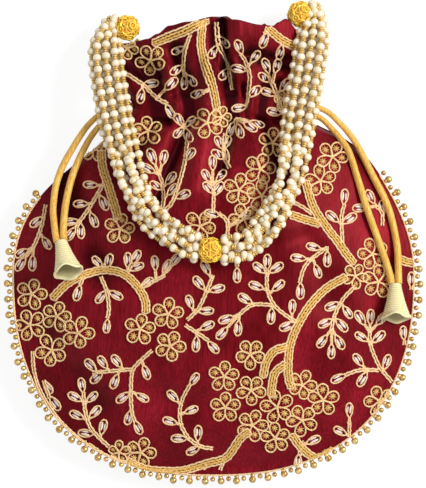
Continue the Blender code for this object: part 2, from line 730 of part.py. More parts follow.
def make_stem(name, route, front_tree, materials, collection):
    """A band of couched cord: a strip that follows the front, with the thickness of its relief."""
    line = even_steps(smooth_line([Vector((*on_front(*spot), 0)) for spot in route]), STEM_STEP)
    rows = len(line) - 1
    bpy.ops.mesh.primitive_grid_add(x_subdivisions=1, y_subdivisions=rows, size=2, location=(0, 0, 0))
    obj = finish(bpy.context.object, name, materials["zari"], collection)
    for vert in obj.data.vertices:
        i = round((vert.co.y + 1) / 2 * rows)
        ahead = (line[min(i + 1, rows)] - line[max(i - 1, 0)]).normalized()
        across = Vector((ahead.y, -ahead.x, 0)) * vert.co.x * STEM_WIDTH / 2
        spot = line[i] + across
        point, _ = look_down(front_tree, spot.x, spot.y)
        vert.co = point + Vector((0, 0, RELIEF_LIFT))
    wall = obj.modifiers.new("relief", "SOLIDIFY")
    wall.thickness = RELIEF
    wall.offset = 1
    return obj


def make_flower(name, x, y, turn, front_tree, materials, collection):
    """A five-petalled flower of couched cord, flat on the cloth below it."""
    petals = 5
    data = bpy.data.curves.new(name, "CURVE")
    data.dimensions = "2D"
    data.fill_mode = "BOTH"
    data.extrude = RELIEF / 2
    spline = data.splines.new("POLY")
    spline.use_cyclic_u = True
    corners = petals * 3
    spline.points.add(corners - 1)
    for i in range(corners):
        angle = 2 * math.pi * i / corners + turn
        radius = FLOWER_RADIUS * (FLOWER_NOTCH if i % 3 == 0 else 1)
        spline.points[i].co = (radius * math.cos(angle), radius * math.sin(angle), 0, 1)
    obj = bpy.data.objects.new(name, data)
    bpy.context.scene.collection.objects.link(obj)
    finish(obj, name, materials["zari"], collection)
    point, normal = look_down(front_tree, x, y)
    place = point + normal * (RELIEF_LIFT + RELIEF / 2)
    obj.matrix_world = Matrix.Translation(place) @ normal.to_track_quat("Z", "Y").to_matrix().to_4x4()
    return obj


def make_embroidery(front_tree, materials, collection):
    for name, route in STEMS.items():
        make_stem(name, route, front_tree, materials, collection)
    for i, spot in enumerate(FLOWERS):
        make_flower(f"flower_{i + 1:02d}", *on_front(*spot), i, front_tree, materials, collection)


def main():
    clear_scene()
    collection = bpy.data.collections.new("potli_bag")
    bpy.context.scene.collection.children.link(collection)
    materials = make_materials()
    panels = make_panels(materials, collection)
    bpy.context.view_layer.update()
    front_tree = BVHTree.FromObject(panels[0], bpy.context.evaluated_depsgraph_get())
    make_edging(materials, collection)
    make_drawstrings(front_tree, materials, collection)
    make_handle(materials, collection)
    for word, sign in (("left", -1), ("right", 1)):
        make_tab(word, sign, materials, collection)
    make_embroidery(front_tree, materials, collection)


main()
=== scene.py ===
# %% [markdown]
# # A silk potli bag
# A potli is a small evening bag of silk: a round pouch drawn together at the neck by two cords,
# with a frill above the neck and a handle of pearl strands. This lesson dresses the plain solid
# model of the bag with cloth, thread, pearls and gold, and lights it as in a shop's photograph.

# %% Load the solid model
import math

import bmesh
import bpy
from mathutils import Matrix, Vector, noise
from mathutils.bvhtree import BVHTree


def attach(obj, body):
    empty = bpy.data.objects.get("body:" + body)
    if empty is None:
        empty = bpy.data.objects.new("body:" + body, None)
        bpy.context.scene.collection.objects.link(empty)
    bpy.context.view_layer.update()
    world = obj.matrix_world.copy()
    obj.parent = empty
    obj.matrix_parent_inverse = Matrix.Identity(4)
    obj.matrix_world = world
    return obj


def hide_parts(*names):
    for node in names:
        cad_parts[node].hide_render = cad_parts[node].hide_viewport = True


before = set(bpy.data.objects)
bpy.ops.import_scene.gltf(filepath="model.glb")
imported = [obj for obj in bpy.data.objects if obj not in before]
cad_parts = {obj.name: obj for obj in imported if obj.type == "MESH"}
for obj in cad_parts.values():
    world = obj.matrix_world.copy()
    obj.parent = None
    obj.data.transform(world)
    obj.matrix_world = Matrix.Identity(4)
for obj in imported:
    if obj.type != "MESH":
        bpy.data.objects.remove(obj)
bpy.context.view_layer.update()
MM = 0.001

# %% [markdown]
# ## The camera
# The bag lies on its back and is seen from straight above. A long lens from far away keeps it
# free of distortion, so the camera stands 1.8 m up and its lens is chosen to fit the bag's height.

# %% Camera
VIEW_MIDDLE = Vector((-0.27, 16.74, 25)) * MM
VIEW_HEIGHT = 263.5 * MM
CAMERA_AWAY = 1.8

lens = bpy.data.cameras.new("camera")
camera = bpy.data.objects.new("camera", lens)
bpy.context.scene.collection.objects.link(camera)
camera.location = VIEW_MIDDLE + Vector((0, 0, CAMERA_AWAY))
lens.lens = lens.sensor_width * CAMERA_AWAY / VIEW_HEIGHT
lens.clip_end = 20
bpy.context.scene.camera = camera
print("lens", round(lens.lens), "mm")

# %% [markdown]
# ## Smooth lines
# Cords, strands and stems all follow smooth lines through a few chosen points. One helper rounds
# the line off, and another puts points on it at equal steps.

# %% Line helpers


def smoothstep(low, high, value):
    t = min(1.0, max(0.0, (value - low) / (high - low)))
    return t * t * (3 - 2 * t)


def smooth_line(points, per_span=8):
    """A rounded line through the points, as a dense list."""
    ends = [2 * points[0] - points[1], *points, 2 * points[-1] - points[-2]]
    line = []
    for a, b, c, d in zip(ends, ends[1:], ends[2:], ends[3:]):
        for i in range(per_span):
            t = i / per_span
            line.append(0.5 * (2 * b + (c - a) * t + (2 * a - 5 * b + 4 * c - d) * t**2
                               + (3 * b - a - 3 * c + d) * t**3))
    return [*line, points[-1]]


def even_steps(line, step, even_count=False):
    """Points at equal steps along a line. even_count makes the number of steps even, keeps the
    step exact over the first half and lets the second half take up what is left."""
    lengths = [0.0]
    for a, b in zip(line, line[1:]):
        lengths.append(lengths[-1] + (b - a).length)
    steps = max(2, round(lengths[-1] / step))
    if even_count:
        steps = 2 * max(1, round(lengths[-1] / step / 2))
    found, at = [], 0
    for i in range(steps + 1):
        target = lengths[-1] * i / steps
        if even_count:
            target = step * i + (lengths[-1] - step * steps) * smoothstep(0.5, 1, i / steps)
        while at < len(line) - 2 and lengths[at + 1] < target:
            at += 1
        share = (target - lengths[at]) / max(1e-12, lengths[at + 1] - lengths[at])
        found.append(line[at].lerp(line[at + 1], min(1.0, share)))
    return found


def line_length(line):
    return sum((b - a).length for a, b in zip(line, line[1:]))


def thread_object(name, lines, radii, resolution, material=None, closed=False):
    """One curve object with a round thread along each line. radii holds one radius per point."""
    data = bpy.data.curves.new(name, "CURVE")
    data.dimensions = "3D"
    data.bevel_depth = 1.0
    data.bevel_resolution = resolution
    data.use_fill_caps = True
    for line, widths in zip(lines, radii):
        spline = data.splines.new("POLY")
        spline.points.add(len(line) - 1)
        spline.use_cyclic_u = closed
        for point, place, radius in zip(spline.points, line, widths):
            point.co = (*place, 1)
            point.radius = radius
    obj = bpy.data.objects.new(name, data)
    bpy.context.scene.collection.objects.link(obj)
    if material:
        data.materials.append(material)
    return obj


def to_mesh(obj):
    """Turns a curve into a mesh, as the Convert menu does."""
    bpy.ops.object.select_all(action="DESELECT")
    obj.select_set(True)
    bpy.context.view_layer.objects.active = obj
    bpy.ops.object.convert(target="MESH")
    bpy.context.object.data.shade_smooth()
    return bpy.context.object


# %% [markdown]
# ## Finishes from nodes
# Thread, silk and brass all change a little from place to place. Each finish here mixes two
# shades by a noise that is stretched along the thread, and uses the same noise as a slight bump.
# The noise reads Object coordinates, so it stays with the piece in any pose.

# %% Finish helper
GRAIN_DEEP = 0.3 * MM


def rgb(red, green, blue):
    """A screen colour from 0 to 255, as the linear colour that a shader takes."""
    def straight(c):
        c /= 255
        return c / 12.92 if c <= 0.04045 else ((c + 0.055) / 1.055) ** 2.4
    return (straight(red), straight(green), straight(blue), 1)


def noise_ramp(material, grain, detail, spread, dark, light):
    """A noise of so many steps per metre, and a ramp over it from one colour to another."""
    nodes, link = material.node_tree.nodes, material.node_tree.links.new
    place = nodes.new("ShaderNodeTexCoord")
    mapping = nodes.new("ShaderNodeMapping")
    mapping.inputs["Scale"].default_value = grain
    link(place.outputs["Object"], mapping.inputs["Vector"])
    grains = nodes.new("ShaderNodeTexNoise")
    grains.inputs["Scale"].default_value = 1
    grains.inputs["Detail"].default_value = detail
    link(mapping.outputs["Vector"], grains.inputs["Vector"])
    ramp = nodes.new("ShaderNodeValToRGB")
    for stop, at, colour in zip(ramp.color_ramp.elements, spread, (dark, light)):
        stop.position, stop.color = at, colour
    link(grains.outputs["Fac"], ramp.inputs["Fac"])
    return grains.outputs["Fac"], ramp.outputs["Color"]


def mix_over_base(material, blend):
    """A mix node between the base colour and the shader. Its sockets B and Factor stay free."""
    nodes, link = material.node_tree.nodes, material.node_tree.links.new
    colour = nodes["Principled BSDF"].inputs["Base Color"]
    mix = nodes.new("ShaderNodeMix")
    mix.data_type, mix.blend_type = "RGBA", blend
    link(colour.links[0].from_socket, mix.inputs["A"])
    link(mix.outputs["Result"], colour)
    return mix


def finish(name, dark, light, grain, roughness, bump=0.15, detail=3.0, spread=(0.35, 0.65),
           **sockets):
    """A finish that wanders from a dark to a light shade. grain is the noise's steps per metre."""
    material = bpy.data.materials.new(name)
    material.use_nodes = True
    nodes, link = material.node_tree.nodes, material.node_tree.links.new
    shader = nodes["Principled BSDF"]
    shader.inputs["Roughness"].default_value = roughness
    for socket, value in sockets.items():
        shader.inputs[socket.replace("_", " ")].default_value = value
    grains, shades = noise_ramp(material, grain, detail, spread, rgb(*dark), rgb(*light))
    link(shades, shader.inputs["Base Color"])
    relief = nodes.new("ShaderNodeBump")
    relief.inputs["Strength"].default_value = bump
    relief.inputs["Distance"].default_value = GRAIN_DEEP
    link(grains, relief.inputs["Height"])
    link(relief.outputs["Normal"], shader.inputs["Normal"])
    return material


def paint_shade_and_reflection(material, colour):
    """Mixes a colour into the base by the attribute "hollow": painted shade in folds, grooves and hollows, and
    on the pearls a painted reflection of the brass.
    """
    hollow = material.node_tree.nodes.new("ShaderNodeAttribute")
    hollow.attribute_name = "hollow"
    darker = mix_over_base(material, "MIX")
    darker.inputs["B"].default_value = rgb(*colour)
    material.node_tree.links.new(hollow.outputs["Fac"], darker.inputs["Factor"])


# The weights, per point, of the painted shade and reflection that the attribute "hollow" carries.
def set_painted_shade_and_reflection(obj, values):
    obj.data.attributes.new("hollow", "FLOAT", "POINT").data.foreach_set("value", values)


satin_cord = finish("gold_satin_cord", (214, 156, 62), (242, 200, 110), (1500, 160, 1500), 0.38,
                    0.25, Sheen_Weight=0.3, Sheen_Tint=rgb(255, 225, 150),
                    Specular_Tint=rgb(255, 215, 140))

# %% [markdown]
# ## The drawstrings' free tails
# Two satin cords close the neck. Each is pulled out through a slit in the side seam, so two tails
# hang at each side, and a bell of gold thread hides their ends. A cord is a soft thing of fixed
# length, so it is a curve with a round section along a route that was laid over the shoulders.

# %% Tails
CORD = 3.4 * MM
TAILS = {
    "left_front": "-41.9,92,18 -44.4,92,18 -49.3,86.9,19.3 -55.6,85.5,20.7 -61.3,81,20.6 -65.9,75.4,20.5"
        " -69.6,69.2,20.4 -72.7,62.8,21.3 -75.3,56.2,22.9 -77.4,49.5,24.7 -78.9,42.8,26.2 -80,35.9,28.7"
        " -80.6,28.8,30 -80.8,22.2,31.7 -80.2,18.8,33.1",
    "left_back": "-41.9,92,14.1 -44.4,92,14.1 -50.6,92.7,18 -56.6,90.1,20.8 -62.8,85.9,20.7 -68.1,80.8,20.6"
        " -72.4,74.8,20.6 -76.3,68.5,20.6 -80,62.1,20.3 -83.1,55.4,20.3 -85.2,48.4,21.6 -86.2,41.4,23.7"
        " -86.5,34.4,26.1 -85.8,27.5,28.9 -84.8,20.7,31.7 -84,17.8,33.1",
    "right_front": "41.9,88,18 44.4,88,18 51.4,87.2,20.2 58.3,84.7,20.6 63.6,79.6,20.4 68.3,74.2,22.1"
        " 72.3,68.4,24 74.9,61.6,25.7 77,54.6,26 79.2,47.5,26.5 81.3,40.4,27 83.6,33.4,27.5"
        " 86.1,26.4,27.7 88.7,19.4,27.4 91.2,12.5,27.1 93.6,5.5,26.4 95.6,-1.4,26.1 96,-4.7,26.7",
    "right_back": "41.9,88,14.1 44.4,88,14.1 49.3,93,17 55.3,91.1,20.9 62.2,87.9,20.6 67.8,82.7,20.6"
        " 73,77,20.5 77.5,70.7,20.6 81.1,64,21.1 84.5,57.1,21.6 88,50.2,21.9 91.6,43.4,21.8"
        " 94.6,36.3,21.9 96.7,29,21.9 98.3,21.4,22.3 99.4,13.9,23.7 99.7,6.2,24.8 99.9,-1.4,25.9"
        " 99.9,-4.7,26.7",
}
tails = {}
for where, route in TAILS.items():
    points = [Vector(map(float, p.split(","))) * MM for p in route.split()]
    line = even_steps(smooth_line(points), 1.5 * MM)
    widths = [(1.5 + 0.42 * smoothstep(0.05, 0.6, i / len(line))) * MM for i in range(len(line))]
    tails[where] = thread_object(f"drawstring_{where}", [line], [widths], 3, satin_cord)
    tails[where]["cord_length"] = line_length(line)
    print(where, "tail:", round(1000 * line_length(line), 1), "mm")

# %% [markdown]
# ## The bells
# Each bell is stiff thread wound round and round a flaring cone, with a wavy lip. The ridges of
# the winding are large enough to see, so they belong in the shape: a rippled profile is spun
# round the bell's axis in edit mode, and then the lip is bent into waves.

# %% Bell profile and spin
bell_thread = finish("pale_gold_thread", (242, 222, 156), (255, 250, 204), (2600, 2600, 900), 0.42, 0.3,
                     Sheen_Weight=0.3, Specular_Tint=rgb(255, 235, 170))
BELL_LENGTH = 19 * MM
BELL_SIDE = ((0, 2.9), (0.2, 3.5), (0.47, 4.6), (0.73, 6.0), (0.88, 7.4), (0.97, 9.3))  # share, mm
WINDINGS, BELL_WOUND = 15, 0.97      # the thread's turns, and how much of the bell they cover


def bell_radius(share):
    for (a, low), (b, high) in zip(BELL_SIDE, BELL_SIDE[1:]):
        if share <= b:
            return (low + (high - low) * (share - a) / (b - a)) * MM
    return BELL_SIDE[-1][1] * MM


def none_selected():
    if bpy.context.object and bpy.context.object.mode != "OBJECT":
        bpy.ops.object.mode_set(mode="OBJECT")
    bpy.ops.object.select_all(action="DESELECT")


def smooth_ball(segments, rings, radius=1):
    none_selected()
    bpy.ops.mesh.primitive_uv_sphere_add(segments=segments, ring_count=rings, radius=radius)
    bpy.context.object.data.shade_smooth()
    return bpy.context.object


def spun(name, profile, steps):
    """Spins a profile of (radius, height) points round the Z axis."""
    none_selected()
    mesh = bpy.data.meshes.new(name)
    mesh.from_pydata([(r, 0, z) for r, z in profile], [(i, i + 1) for i in range(len(profile) - 1)], [])
    obj = bpy.data.objects.new(name, mesh)
    bpy.context.scene.collection.objects.link(obj)
    bpy.context.view_layer.objects.active = obj
    obj.select_set(True)
    bpy.ops.object.mode_set(mode="EDIT")
    bpy.ops.mesh.select_all(action="SELECT")
    bpy.ops.mesh.spin(steps=steps, angle=2 * math.pi, center=(0, 0, 0), axis=(0, 0, 1))
    bpy.ops.mesh.select_all(action="SELECT")
    bpy.ops.mesh.remove_doubles(threshold=0.02 * MM)
    bpy.ops.mesh.normals_make_consistent(inside=False)
    bpy.ops.object.mode_set(mode="OBJECT")
    obj.data.shade_smooth()
    return obj


profile = [(0, 0.3 * MM), (2.6 * MM, 0.3 * MM)]
for i in range(4 * WINDINGS + 1):
    share = i / (4 * WINDINGS)
    ridge = 0.42 * MM * abs(math.sin(math.pi * WINDINGS * share))
    profile.append((bell_radius(share * BELL_WOUND) + ridge, -BELL_LENGTH * share * BELL_WOUND))
profile += [(9.2 * MM, -BELL_LENGTH), (8.6 * MM, -BELL_LENGTH), (7.3 * MM, -0.93 * BELL_LENGTH),
            (5.4 * MM, -0.7 * BELL_LENGTH), (0, -0.62 * BELL_LENGTH)]
bell_pattern = spun("bell_pattern", profile, 44)
# Painted shade: the grooves between the windings and the inside of the mouth are darkened through the attribute
# "hollow".
bell_painted_shade = []
for vert in bell_pattern.data.vertices:
    share = -vert.co.z / BELL_LENGTH
    inside = 0.75 * smoothstep(1.0, 0.9, share)
    wound = min(1.0, share / BELL_WOUND)
    groove = 0.34 - 0.34 * abs(math.sin(math.pi * WINDINGS * wound)) if share < 0.96 else 0
    bell_painted_shade.append(inside if vert.co.xy.length < bell_radius(share) - 0.2 * MM else groove)
    down = smoothstep(-0.72 * BELL_LENGTH, -BELL_LENGTH, vert.co.z)
    turn = math.atan2(vert.co.y, vert.co.x)
    wave = math.cos(3 * turn + 0.6) + 0.4 * math.cos(5 * turn)
    vert.co.x *= 1 + 0.05 * wave * down
    vert.co.y *= 1 - 0.12 * down
    vert.co.z += 0.75 * MM * wave * down
set_painted_shade_and_reflection(bell_pattern, bell_painted_shade)
# The colour of the painted shade in the bell's grooves and mouth.
paint_shade_and_reflection(bell_thread, (84, 70, 26))
print("bell:", len(bell_pattern.data.polygons), "faces")

# %% [markdown]
# The bells lie on the cloth at the ends of their cords. A matrix puts each copy in place, and
# that place is applied to its mesh, so its object stays at the origin.

# %% Place the bells
BELLS = {
    "left": (Vector((-82.0, 18.0, 33.3)) * MM, Vector((0.2351, -0.8772, 0.4186))),
    "right": (Vector((98.0, -5.0, 26.7)) * MM, Vector((0.0169, -0.9699, 0.2428))),
}


def placed_copy(name, source, place):
    """A copy with its own mesh, and its place in that mesh."""
    obj = source.copy()
    obj.data = source.data.copy()
    obj.name = obj.data.name = name
    obj.data.transform(place)
    bpy.context.scene.collection.objects.link(obj)
    return obj


def aimed(place, axis, track="Z", up="Y"):
    return Matrix.Translation(place) @ axis.to_track_quat(track, up).to_matrix().to_4x4()


bells = {}
for word, (top, axis) in BELLS.items():
    bells[word] = placed_copy(f"cord_bell_{word}", bell_pattern, aimed(top, -axis, "Z", "X"))
    bells[word].data.materials.append(bell_thread)
    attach(bells[word], "bag")
    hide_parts(f"bell_{word}")
bpy.data.objects.remove(bell_pattern)
for where, tail in tails.items():
    side, part = where.split("_")
    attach(tail, "bag")
    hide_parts(f"drawstring_{where}_tail")

# %% [markdown]
# ## The shape of the bag
# The pouch is nearly round, the shoulders draw in to the neck, and the frill flares again. These
# functions give the outline and the fullness at any height, so that each piece that lies on the
# bag can read its place from the same shape as the solids.

# %% Outline and fullness
HALF_WIDTH, DROP, NECK, NECK_HALF = 109 * MM, 109 * MM, 90 * MM, 41.5 * MM
NECK_FULL = 43.3 * MM          # the silk stands a little wider than the channel in it
FRILL_HALF = 48.4 * MM
RIM = 16 * MM
SEAM_HALF, SILK = 0.3 * MM, 0.9 * MM
FRONT_RISE, BACK_DROP, NECK_RISE = 28 * MM, 19 * MM, 13 * MM
ROUND = 2.4
SLIT_TALL, SLIT_CLOSED, SLIT_GAP = 4.3 * MM, 8 * MM, 4.8 * MM


def middle_x(y):
    share = min(1.0, max(0.0, y / (NECK - SLIT_CLOSED)))
    return 7 * MM * math.sin(math.pi * share**4) - 1.5 * MM * smoothstep(NECK, NECK + 14 * MM, y)


def half_width(y):
    if y < 0:
        return HALF_WIDTH * (1 - min(1.0, -y / DROP) ** ROUND) ** (1 / ROUND)
    if y < NECK:
        full = (NECK_FULL - NECK_HALF) * smoothstep(NECK - 14 * MM, NECK, y)
        return NECK_HALF + full + (HALF_WIDTH - NECK_HALF) * (1 - (y / NECK) ** 2.15)
    return NECK_FULL + (FRILL_HALF - NECK_FULL) * smoothstep(NECK, NECK + 16 * MM, y)


def seam_width(y):
    return (2.6 - 1.4 * smoothstep(0.44 * NECK, 0.9 * NECK, y)) * MM


def swell(share, rounding=0.95):
    return max(0.0, 1 - abs(share) ** 2.2) ** rounding


def rounding_at(y):
    return 0.95 - 0.35 * smoothstep(0.44 * NECK, NECK, y)


def rise_at(y, full):
    if y < 0:
        return full * swell(-y / (DROP - 2.6 * MM))
    share = min(1.0, y / NECK)
    return NECK_RISE + (full - NECK_RISE) * (1 - share * share) ** 1.2


def front_height(x, y):
    edge = half_width(y) - seam_width(y)
    flat = RIM + SEAM_HALF + SILK
    across = abs(x - middle_x(y))
    if across >= edge:
        return flat
    return flat + (rise_at(y, FRONT_RISE) - SEAM_HALF - SILK) * swell(across / edge, rounding_at(y))


print("neck", round(2000 * half_width(NECK)), "mm wide, pouch", round(2000 * half_width(0)), "mm")

# %% [markdown]
# ## Folds
# The drawstrings gather the neck into deep, uneven pleats that run out into soft ridges on the pouch. Real folds
# are never a regular wave, so each one is drawn as a line with a width and a depth: a hollow where the depth is
# below zero, a ridge where it is above.

# %% Folds drawn one by one
FRONT_FOLDS = (  # x0, y0, x1, y1, width, depth in mm
    (4, 143, 7, 112, 2.2, -9), (7, 112, 11, 86, 2.8, -10), (11, 86, 4, 56, 3.4, -6),
    (-20, 122, -15, 104, 3.6, -7), (-15, 104, -12, 86, 3.2, -9), (-12, 86, -31, 40, 4, -5.5),
    (-49, 120, -34, 109, 6.5, -8), (-34, 109, -28, 86, 4.4, -8), (-28, 86, -47, 58, 4.5, -4.5),
    (18, 119, 46, 114, 5, -7.5), (30, 108, 25, 86, 3.2, -7), (25, 86, 37, 55, 4.4, -5),
    (36, 104, 35, 84, 2.6, -6), (17, 102, 18, 84, 2, -4.5), (-22, 98, -24, 82, 2.2, -5),
    (0, 134, 1, 108, 2.2, -4),
    (-3, 90, -11, 46, 7, 5.6), (-2, 114, -4, 92, 4, 4.4), (21, 112, 21, 88, 3, 4), (19, 88, 24, 60, 6, 3.4),
    (-26, 112, -21, 90, 3, 3.4), (-21, 90, -38, 60, 5, 2.4), (13, 141, 15, 122, 4, 3.4),
    (-40, 126, -10, 133, 3, 2.4), (33, 92, 44, 72, 4, 2), (-38, 96, -44, 80, 3, 2),
    (-82, 54, -62, 6, 11, -4.6), (-74, 20, -34, 17, 6, 2.2), (-74, -44, -42, -33, 7, 2.4),
    (-62, 2, -20, -8, 6, -1.6), (50, 26, 62, -14, 8, -2), (20, 8, 56, 22, 7, 1.8),
    (-20, -52, 34, -44, 8, 1.6), (-44, -62, 6, -72, 7, -1.5), (62, -36, 84, -62, 9, 1.5),
    (-92, -30, -60, -70, 9, -3), (84, 40, 94, 0, 6, -1.4), (66, 78, 84, 44, 5, 1.2),
    (-55, 62, -42, 30, 7, -2.6),
)
BACK_FOLDS = (
    (-30, 135, -27, 90, 3, -5), (-27, 90, -44, 52, 5, -3), (-8, 138, -6, 90, 3.4, -5.5),
    (-6, 90, -12, 48, 5, -3), (14, 137, 12, 90, 3, -5), (12, 90, 20, 50, 5, -3),
    (33, 134, 30, 90, 3, -4.5), (30, 90, 48, 56, 5, -2.6), (-18, 120, -17, 88, 4, 2),
    (3, 120, 3, 88, 4, 2), (22, 118, 21, 88, 4, 2),
)


def fold_depth(folds, x, y):
    """The cloth's rise or hollow from its folds and from slight puckers, in metres."""
    x, y = x / MM, y / MM
    total = 0.0
    for x0, y0, x1, y1, width, depth in folds:
        dx, dy = x1 - x0, y1 - y0
        along = ((x - x0) * dx + (y - y0) * dy) / (dx * dx + dy * dy)
        nearest = min(1.0, max(0.0, along))
        away = math.hypot(x - x0 - dx * nearest, y - y0 - dy * nearest)
        if away < 3 * width:
            total += depth * math.exp(-((away / width) ** 2))
    broad = 0.7 * noise.noise(Vector((x / 13, y / 17, 1.5)))
    narrow = 0.22 * noise.noise(Vector((x / 5, y / 8, 7)))
    return (total + broad + narrow) * MM


# %% [markdown]
# ## The silk
# A panel is a flat grid whose rows are laid over the bag, from the lowest point of the rim to the
# mouth, and whose columns run from seam to seam. The frill's top edge is cut in a free curve.
# Solidify then gives the cloth and its stiff backing their thickness.

# %% Lay a grid over the bag
MOUTH = ((-47, 125.5), (-42.4, 126.4), (-36.5, 127.4), (-31, 130.1), (-24.6, 134.5), (-14.3, 136.6),
         (0, 139.3), (5.7, 140), (10.5, 137.7), (27.3, 135), (33.2, 134.6), (36, 136.6),
         (40.2, 138.6), (47, 132.6))


def mouth_edge(x):
    """Height of the front's top edge."""
    x = min(46.9, max(-46.9, x / MM))
    for (a, low), (b, high) in zip(MOUTH, MOUTH[1:]):
        if x <= b:
            return (low + (high - low) * smoothstep(a, b, x)) * MM


def away_from_light(x, y):
    """The left of the frill, the left flank and the bottom turn into their own shade."""
    frill = 0.34 * smoothstep(NECK - 10 * MM, NECK + 12 * MM, y) * (1 - smoothstep(-14 * MM, 26 * MM, x))
    low = 0.2 * (1 - smoothstep(-104 * MM, -70 * MM, y))
    return frill + low + 0.16 * (1 - smoothstep(-98 * MM, -50 * MM, x))


def panel(name, columns, rows, side, folds, thickness, rise, inset, sink, neck_inset, trim, least):
    """A grid laid over the bag. side is 1 for the front and -1 for the back."""
    none_selected()
    lower, upper, frill = rows
    count = lower + upper + frill
    bpy.ops.mesh.primitive_grid_add(x_subdivisions=columns, y_subdivisions=count, size=2)
    obj = bpy.context.object
    obj.name = obj.data.name = name
    hollow = [0.0] * len(obj.data.vertices)
    for vert in obj.data.vertices:
        row, s = round((vert.co.y + 1) / 2 * count), vert.co.x
        at_edge = abs(s) > 1 - 0.5 / columns
        a = max(-1.0, min(1.0, s / (1 - 2 / columns)))
        u = a * (1.25 - 0.25 * a * a)
        if row < lower:
            angle = math.pi / 2 * row / lower
            seam = 0 if at_edge else 2.6 * MM
            half = (HALF_WIDTH - inset - seam) * math.sin(angle) ** (2 / ROUND)
            down = math.cos(angle) ** (2 / ROUND)
            y, full = -(DROP - inset - seam) * down, rise * swell(down)
        else:
            y = (NECK + SLIT_CLOSED) * (row - lower) / upper
            if row > lower + upper:
                y = NECK + SLIT_CLOSED
                y += (mouth_edge(u * FRILL_HALF - 1.5 * MM) - trim - y) * (row - lower - upper) / frill
            narrower = inset + neck_inset * smoothstep(0.53 * NECK, NECK - SLIT_CLOSED, y)
            half = half_width(y) - narrower - (0 if at_edge else seam_width(y))
            full = rise_at(y, rise)
        x = middle_x(y) + (math.copysign(half, s) if at_edge else half * u)
        slit = SLIT_GAP * (1 - smoothstep(SLIT_TALL, SLIT_CLOSED, abs(y - NECK))) * (inset == 0)
        depth = flat = SEAM_HALF + thickness + slit
        if not at_edge:
            free = (1 - u**8) * smoothstep(-1.0, -0.9, y / DROP)
            level = full - flat - sink(y)
            depth += level * swell(u, rounding_at(y)) + fold_depth(folds, x, y) * free
            depth = max(depth, flat + least(y) * swell(u, 0.5))
        # Painted shade: the cloth is darkened in its folds and where it turns from the light, through the
        # attribute "hollow".
        painted_fold_shade = smoothstep(0.3, 5.5, -fold_depth(folds, x, y) / MM)
        hollow[vert.index] = min(1.0, painted_fold_shade + away_from_light(x, y))
        vert.co = (x, y, max(RIM + side * depth, 0.1 * MM if inset == 0 else 2.6 * MM))
    set_painted_shade_and_reflection(obj, hollow)
    bpy.ops.object.mode_set(mode="EDIT")
    bpy.ops.mesh.select_all(action="SELECT")
    bpy.ops.mesh.remove_doubles(threshold=0.02 * MM)
    if side < 0:
        bpy.ops.mesh.flip_normals()
    bpy.ops.object.mode_set(mode="OBJECT")
    return obj


def thicken(obj, thickness):
    wall = obj.modifiers.new("thickness", "SOLIDIFY")
    wall.thickness, wall.offset, wall.use_even_offset = thickness, -1, True
    bpy.context.view_layer.objects.active = obj
    bpy.ops.object.modifier_apply(modifier=wall.name)
    obj.data.shade_smooth()


def at_neck(y):
    return smoothstep(NECK - 30 * MM, NECK - 8 * MM, y) - smoothstep(NECK + 8 * MM, NECK + 20 * MM, y)


def silk_least(y):
    """The silk never sinks onto the drawstrings in the channel."""
    return 6.6 * MM * at_neck(y)


front_silk = panel("front_silk", 130, (64, 66, 34), 1, FRONT_FOLDS, SILK, FRONT_RISE, 0,
                   lambda y: 0.6 * MM * at_neck(y), 0, 0, silk_least)
front_tree = BVHTree.FromPolygons([v.co for v in front_silk.data.vertices],
                                  [p.vertices for p in front_silk.data.polygons])
thicken(front_silk, SILK)
back_silk = panel("back_silk", 80, (36, 44, 22), -1, BACK_FOLDS, SILK, BACK_DROP, 0,
                  lambda y: 0, 0, 1.2 * MM, silk_least)
thicken(back_silk, SILK)
print("front silk", len(front_silk.data.polygons), "faces")

# %% [markdown]
# ## The lining
# Inside hangs a thinner lining. It lies loosely below the silk and closer in at the neck, where it
# also closes the channel in which the drawstrings run.

# %% Lining panels
LINING = 0.6 * MM


def lining_sink(y):
    return 2.5 * MM + 6.6 * MM * at_neck(y)


linings = []
for word, side, rise, folds in (
    ("front", 1, FRONT_RISE, FRONT_FOLDS), ("back", -1, BACK_DROP, BACK_FOLDS),
):
    lining = panel(f"{word}_inner_lining", 60, (18, 32, 18), side, folds, LINING, rise, 8.1 * MM,
                   lining_sink, 5.2 * MM, 2.5 * MM, lambda y: 0)
    thicken(lining, LINING)
    linings.append(lining)
print("lining", len(linings[0].data.polygons), "faces")

# %% [markdown]
# ## Silk and lining finishes
# Dupion silk has a fine slub along one direction, a deep base and a sheen of a lighter, redder shade. The
# reflection is tinted, because dyed silk tints what it mirrors. A second, large noise gives broad patches of
# brighter, pinker cloth and of duller cloth: partly tone that differs at random, partly painted sheen. The folds
# and the sides that turn from the light are darkened with painted shade.

# %% Silk


def add_patches(material, dark, light, grain, low, high):
    """Multiplies the base colour by a second, larger noise."""
    times = mix_over_base(material, "MULTIPLY")
    times.inputs["Factor"].default_value = 1
    _, shades = noise_ramp(material, grain, 2, (low, high), (*dark, 1), (*light, 1))
    material.node_tree.links.new(shades, times.inputs["B"])


silk = finish("maroon_silk", (93, 9, 14), (131, 18, 27), (1500, 90, 1500), 0.42, 0.12, 5.0,
              Sheen_Weight=0.1, Sheen_Roughness=0.35, Sheen_Tint=rgb(255, 80, 90),
              Specular_IOR_Level=0.34, Specular_Tint=rgb(255, 84, 92))
# Painted sheen: the brighter, pinker patches stand in for the silk's sheen, over tone that differs at random.
add_patches(silk, (0.62, 0.6, 0.68), (1.34, 1.8, 2.15), (38, 24, 38), 0.38, 0.68)
